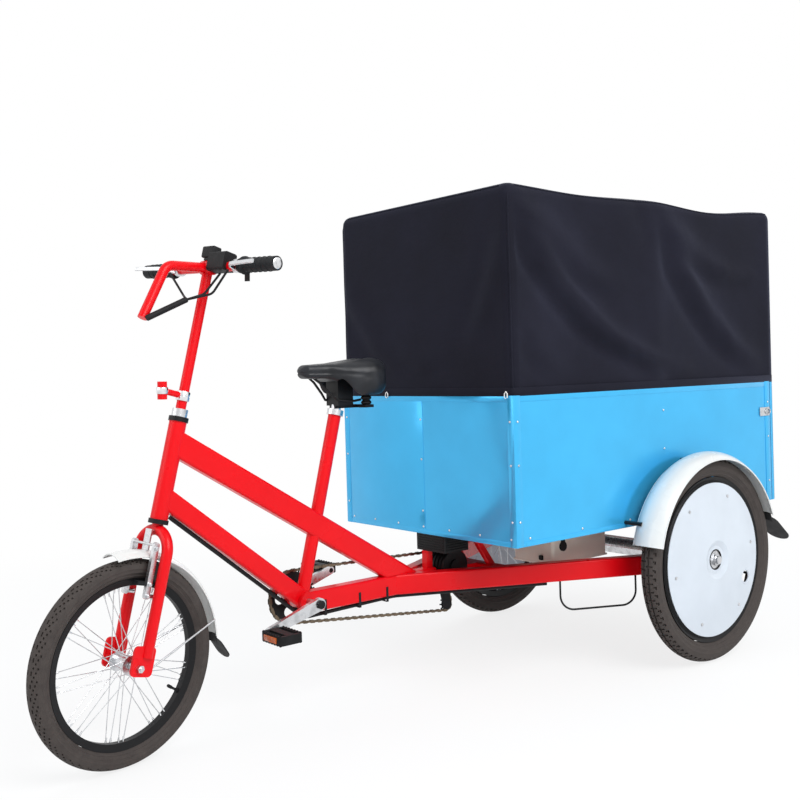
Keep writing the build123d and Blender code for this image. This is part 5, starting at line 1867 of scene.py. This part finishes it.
@dataclass
class SteeringTrim:
    """Small hardware of the bar, post and fork, placed in the steering frame.

    Turned pieces are given by their (radius, height) profiles.
    """

    bar_height: float = 1.0
    bar_half: float = 0.258
    lug_reach: float = 0.066
    lug_height: float = 0.664
    lug_lean: float = math.radians(14.5)
    grip_cap: Line = ((0.0, -0.002), (0.0142, -0.002), (0.0142, 0.0012), (0.0125, 0.0026), (0.007, 0.0031),
                      (0.005, 0.0022), (0.0, 0.0022))
    stem_clamp: Line = ((0.0128, -0.021), (0.0178, -0.021), (0.019, -0.019), (0.019, -0.002), (0.0182, 0.0),
                        (0.019, 0.002), (0.019, 0.019), (0.0178, 0.021), (0.0128, 0.021))
    lug_band: Line = ((0.0122, -0.008), (0.0140, -0.008), (0.0148, -0.006), (0.0148, 0.006), (0.0140, 0.008),
                      (0.0122, 0.008))
    post_clip: Line = ((0.0131, -0.012), (0.0162, -0.012), (0.0172, -0.010), (0.0172, -0.001), (0.0164, 0.0),
                       (0.0172, 0.001), (0.0172, 0.010), (0.0162, 0.012), (0.0131, 0.012))
    stem_bolt_y: float = 0.011
    stem_bolt_rise: float = 0.0185
    button_places: tuple[float, ...] = (0.036, 0.052, 0.068)
    button_half: float = 0.005
    brake_bolt: tuple[float, float] = (0.026, 0.048)
    brake_bolt_heights: tuple[float, ...] = (0.168, 0.196, 0.282)

    def build(self) -> None:
        """Dress the steering."""
        self.frame = steer_frame()
        self._grip_caps()
        self._stem_clamp()
        self._lug_clamp()
        self._display()
        self._pod()
        self._brake_bolts()

    def _grip_caps(self) -> None:
        """Bright plugs in the ends of the grips."""
        places = [along(Vector((0, sign, 0)), Vector((0, sign * self.bar_half, self.bar_height)))
                  for sign in (LEFT, RIGHT)]
        caps = Bench.scatter("grip_caps", Bench.knob("grip_cap", self.grip_cap, 32), places)
        settle(caps, Paint.CHROME, "steering", self.frame)

    def _stem_clamp(self) -> None:
        """Split clamp that holds the bar, with its bolts."""
        collar = Bench.knob("stem_clamp", self.stem_clamp, 32)
        across = along(Vector((0, 1, 0)), Vector((0, 0, self.bar_height)))
        settle(collar, Paint.RED, "steering", self.frame @ across)
        bolt_z = self.bar_height + self.stem_bolt_rise
        places = [along(Vector((0, 0, 1)), Vector((0.0, sign * self.stem_bolt_y, bolt_z)))
                  for sign in (RIGHT, LEFT)]
        bolts = Bench.scatter("stem_bolts", Bench.hex_bolt("stem_bolt", 0.009, 0.005), places)
        settle(bolts, Paint.ZINC, "steering", self.frame)

    def _lug_clamp(self) -> None:
        """Bright bands round the front lug and round the post beside it."""
        lean = Vector((math.sin(self.lug_lean), 0, math.cos(self.lug_lean)))
        band = Bench.knob("lug_band", self.lug_band, 28)
        at_lug = along(lean, Vector((self.lug_reach, 0, self.lug_height)))
        settle(band, Paint.CHROME, "steering", self.frame @ at_lug)
        clip = Bench.knob("post_clip", self.post_clip, 28)
        at_post = Matrix.Translation((0, 0, self.lug_height - 0.001))
        settle(clip, Paint.CHROME, "steering", self.frame @ at_post)

    def _display(self) -> None:
        """Screen bezel and three buttons on the rider's side of the display."""
        bar, half = self.bar_height, self.button_half
        blocks = [((-0.0205, 0.026, bar + 0.004), (-0.0168, 0.078, bar + 0.029), 0.0012)]
        for y in self.button_places:
            blocks.append(((-0.0195, y - half, bar - 0.007), (-0.0168, y + half, bar - 0.001), 0.001))
        settle(Bench.slabs("display_trim", blocks), Paint.RUBBER, "steering", self.frame)

    def _pod(self) -> None:
        """Foot, case and glass of the pod above the stem."""
        bar = self.bar_height
        blocks = (
            ((-0.010, -0.014, bar + 0.0175), (0.010, 0.014, bar + 0.026), 0.002),
            ((-0.015, -0.024, bar + 0.0255), (0.013, 0.022, bar + 0.056), 0.004),
            ((-0.0158, -0.019, bar + 0.031), (-0.0145, 0.017, bar + 0.051), 0.0005),
        )
        settle(Bench.slabs("bar_pod", blocks), Paint.PLASTIC, "steering", self.frame)

    def _brake_bolts(self) -> None:
        """Bolts of the brake arms and pads."""
        x, y = self.brake_bolt
        places = [along(Vector((0, sign, 0)), Vector((x, sign * y, z)))
                  for sign in (LEFT, RIGHT) for z in self.brake_bolt_heights]
        bolts = Bench.scatter("brake_bolts", Bench.hex_bolt("brake_bolt", 0.010, 0.004), places)
        settle(bolts, Paint.ZINC, "steering", self.frame)


@dataclass
class FenderBeads:
    """Rolled edges of the fenders, arcs inside the crown's radius between two angles from straight up."""

    bead: float = 0.0022
    half_sheet: float = 0.00125
    rear_radius: float = 0.334
    rear_crown: float = 0.022
    rear_half: float = 0.052
    rear_angles: tuple[float, float] = (-70, 76)
    front_radius: float = 0.272
    front_crown: float = 0.013
    front_half: float = 0.032
    front_angles: tuple[float, float] = (-72, 22)

    def build(self) -> None:
        """Dress the three fenders."""
        wheel = middle("rear_tyre_left")
        radius = self.rear_radius - self.rear_crown + self.half_sheet
        beads = []
        for sign in (LEFT, RIGHT):
            place = Matrix.Translation((wheel.x, sign * wheel.y, wheel.z))
            beads += self._edges(place, radius, self.rear_half, self.rear_angles)
        rear = Bench.joined("rear_fender_beads", beads)
        settle(rear, Paint.SILVER_WHITE, "chassis")
        place = steer_frame() @ Matrix.Translation((FORK_OFFSET, 0, 0))
        radius = self.front_radius - self.front_crown + self.half_sheet
        beads = self._edges(place, radius, self.front_half, self.front_angles)
        front = Bench.joined("front_fender_beads", beads)
        settle(front, Paint.SILVER_WHITE, "steering")

    def _edges(self, place: Matrix, radius: float, half: float,
               angles: tuple[float, float]) -> list[bpy.types.Object]:
        """Two beads along a fender's edges.

        Args:
            place: frame of the wheel.
            radius: radius of the edges.
            half: half the fender's width.
            angles: rear and front end from straight up, degrees.

        Returns:
            The two bead objects.
        """
        made = []
        for side in (half, -half):
            line = [place @ Vector((radius * math.sin(angle), side, radius * math.cos(angle)))
                    for angle in np.radians(np.linspace(*angles, 60))]
            made.append(Bench.wire("fender_bead", [tuple(point) for point in line], self.bead))
        return made


@dataclass
class DriveTrim:
    """Pedal reflectors and teeth, crank caps, chainring bolts, battery rims, controller fins, cable ties."""

    pedal_width: float = 0.092
    pedal_edge: float = 0.034
    lens_thickness: float = 0.0035
    lens_inset: float = 0.018
    lens_half: float = 0.0075
    teeth: int = 7
    tooth_inset: float = 0.008
    tooth_span: tuple[float, float] = (0.0115, 0.0145)
    crank_cap: Line = ((0.0, 0.0), (0.0115, 0.0), (0.0115, 0.002), (0.009, 0.0034), (0.0, 0.0034))
    ring_bolts: int = 5
    ring_bolt_out: float = 0.042
    rim_out: float = 0.0012
    fins: int = 6
    fin_depth: float = 0.003
    fin_inset: float = 0.006
    tie_places: tuple[float, ...] = (1.16, 1.04, 0.94)
    tie_half: float = 0.004
    tie_out: float = 0.0212
    tie_thickness: float = 0.0012

    def build(self) -> None:
        """Dress the drive."""
        for name in ("pedal_left", "pedal_right"):
            self._pedal(name)
        self._crank_caps()
        self._battery()
        self._controller()
        self._ties()

    def _pedal(self, name: str) -> None:
        """Amber reflectors on both edges of a pedal, and grip teeth.

        Args:
            name: the pedal's node, which is also its body.
        """
        centre = joint_place(name)
        low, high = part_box(name)
        near, far = low.y, low.y + self.pedal_width
        if centre.y > 0:
            near, far = high.y - self.pedal_width, high.y
        lenses, teeth = [], []
        for edge in (1, -1):
            x = centre.x + edge * self.pedal_edge
            first, last = sorted((x, x + edge * self.lens_thickness))
            lenses.append(((first, near + self.lens_inset, centre.z - self.lens_half),
                           (last, far - self.lens_inset, centre.z + self.lens_half), 0.001))
            tooth_x = x - edge * 0.004
            for y in np.linspace(near + self.tooth_inset, far - self.tooth_inset, self.teeth):
                for level in (1, -1):
                    foot, tip = mirrored(level, *self.tooth_span)
                    teeth.append(((tooth_x - 0.002, y - 0.003, centre.z + foot),
                                  (tooth_x + 0.002, y + 0.003, centre.z + tip), 0.0008))
        settle(Bench.slabs(name + "_reflectors", lenses), Paint.AMBER, name)
        settle(Bench.slabs(name + "_teeth", teeth, 1), Paint.PLASTIC, name)

    def _crank_caps(self) -> None:
        """Dust caps on the spindle's ends and bolts on the chainring."""
        centre = joint_place("crank")
        low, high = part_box("cranks")
        places = [along(Vector((0, sign, 0)), Vector((centre.x, y, centre.z)))
                  for sign, y in ((LEFT, high.y), (RIGHT, low.y))]
        caps = Bench.scatter("crank_caps", Bench.knob("crank_cap", self.crank_cap, 24), places)
        settle(caps, Paint.PLASTIC, "crank")
        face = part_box("chainring")[0].y
        places = []
        for index in range(self.ring_bolts):
            angle = 2 * math.pi * (index + 0.5) / self.ring_bolts
            x, z = self.ring_bolt_out * math.cos(angle), self.ring_bolt_out * math.sin(angle)
            places.append(along(Vector((0, -1, 0)), Vector((centre.x + x, face, centre.z + z))))
        bolts = Bench.scatter("ring_bolts", Bench.hex_bolt("ring_bolt", 0.009, 0.003), places)
        settle(bolts, Paint.ZINC, "crank")

    def _battery(self) -> None:
        """Lid joint and foot rim of the battery."""
        low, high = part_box("battery_box")
        out = self.rim_out
        bands = ((high.z - 0.03, high.z - 0.026, 0.0005), (low.z, low.z + 0.006, 0.0006))
        blocks = [((low.x - out, low.y - out, base), (high.x + out, high.y + out, crest), edge)
                  for base, crest, edge in bands]
        settle(Bench.slabs("battery_rims", blocks), Paint.GREY_CASE, "chassis")

    def _controller(self) -> None:
        """Cooling fins on the front and the left side of the controller."""
        low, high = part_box("controller_box")
        inset, depth, sink, edge = self.fin_inset, self.fin_depth, 0.0005, 0.0008
        blocks = []
        for z in np.linspace(low.z + inset, high.z - 0.008, self.fins):
            crest = z + depth
            blocks.append(((high.x - sink, low.y + inset, z), (high.x + depth, high.y - inset, crest), edge))
            blocks.append(((low.x + inset, high.y - sink, z), (high.x - inset, high.y + depth, crest), edge))
        settle(Bench.slabs("controller_fins", blocks, 1), Paint.BLACK, "chassis")

    def _ties(self) -> None:
        """Straps that hold the cable bundle under the beam."""
        axle_x = middle("rear_tyre_left").x
        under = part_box("chassis_rails")[0].z
        foot, out = under - 0.0135, self.tie_out
        blocks = []
        for place in self.tie_places:
            rear, front = axle_x + place - self.tie_half, axle_x + place + self.tie_half
            blocks.append(((rear, -out, foot), (front, out, under - 0.0118), 0.0006))
            for y in (-out, out - self.tie_thickness):
                blocks.append(((rear, y, foot), (front, y + self.tie_thickness, under + 0.030), 0.0005))
        settle(Bench.slabs("cable_ties", blocks), Paint.PLASTIC, "chassis")


def paint_nodes() -> None:
    """Give every CAD node its finish."""
    for paint, names in NODE_PAINT.items():
        material = paint.made()
        for name in names.split():
            wear(NODES[name], material)


def main() -> None:
    """Build the visual model piece by piece."""
    logging.basicConfig(level=logging.INFO, format="%(name)s: %(message)s")
    bpy.ops.object.select_all(action="DESELECT")
    Studio().build()
    paint_nodes()
    front_hub = steer_frame() @ Matrix.Translation((FORK_OFFSET, 0, 0))
    pieces = (
        Hood(),
        Tyre("front_tyre", "front_wheel", 0.252, FRONT_RIM, 0.050, StreetTread(54, 6, 0.0034)),
        *[Tyre(f"rear_tyre_{side}", f"rear_wheel_{side}", 0.318, REAR_RIM, 0.058, BlockTread(78, 5, 0.0050))
          for side in ("left", "right")],
        SaddlePad(),
        BoxTrim(),
        WheelTrim("front_wheel", FRONT_RIM, front_hub),
        *[WheelTrim(body, REAR_RIM, Matrix.Translation(joint_place(body)), sign)
          for body, sign in (("rear_wheel_left", LEFT), ("rear_wheel_right", RIGHT))],
        SteeringTrim(),
        FenderBeads(),
        DriveTrim(),
    )
    for piece in pieces:
        piece.build()
        LOG.info("built %s", type(piece).__name__)


if __name__ == "__main__":
    main()
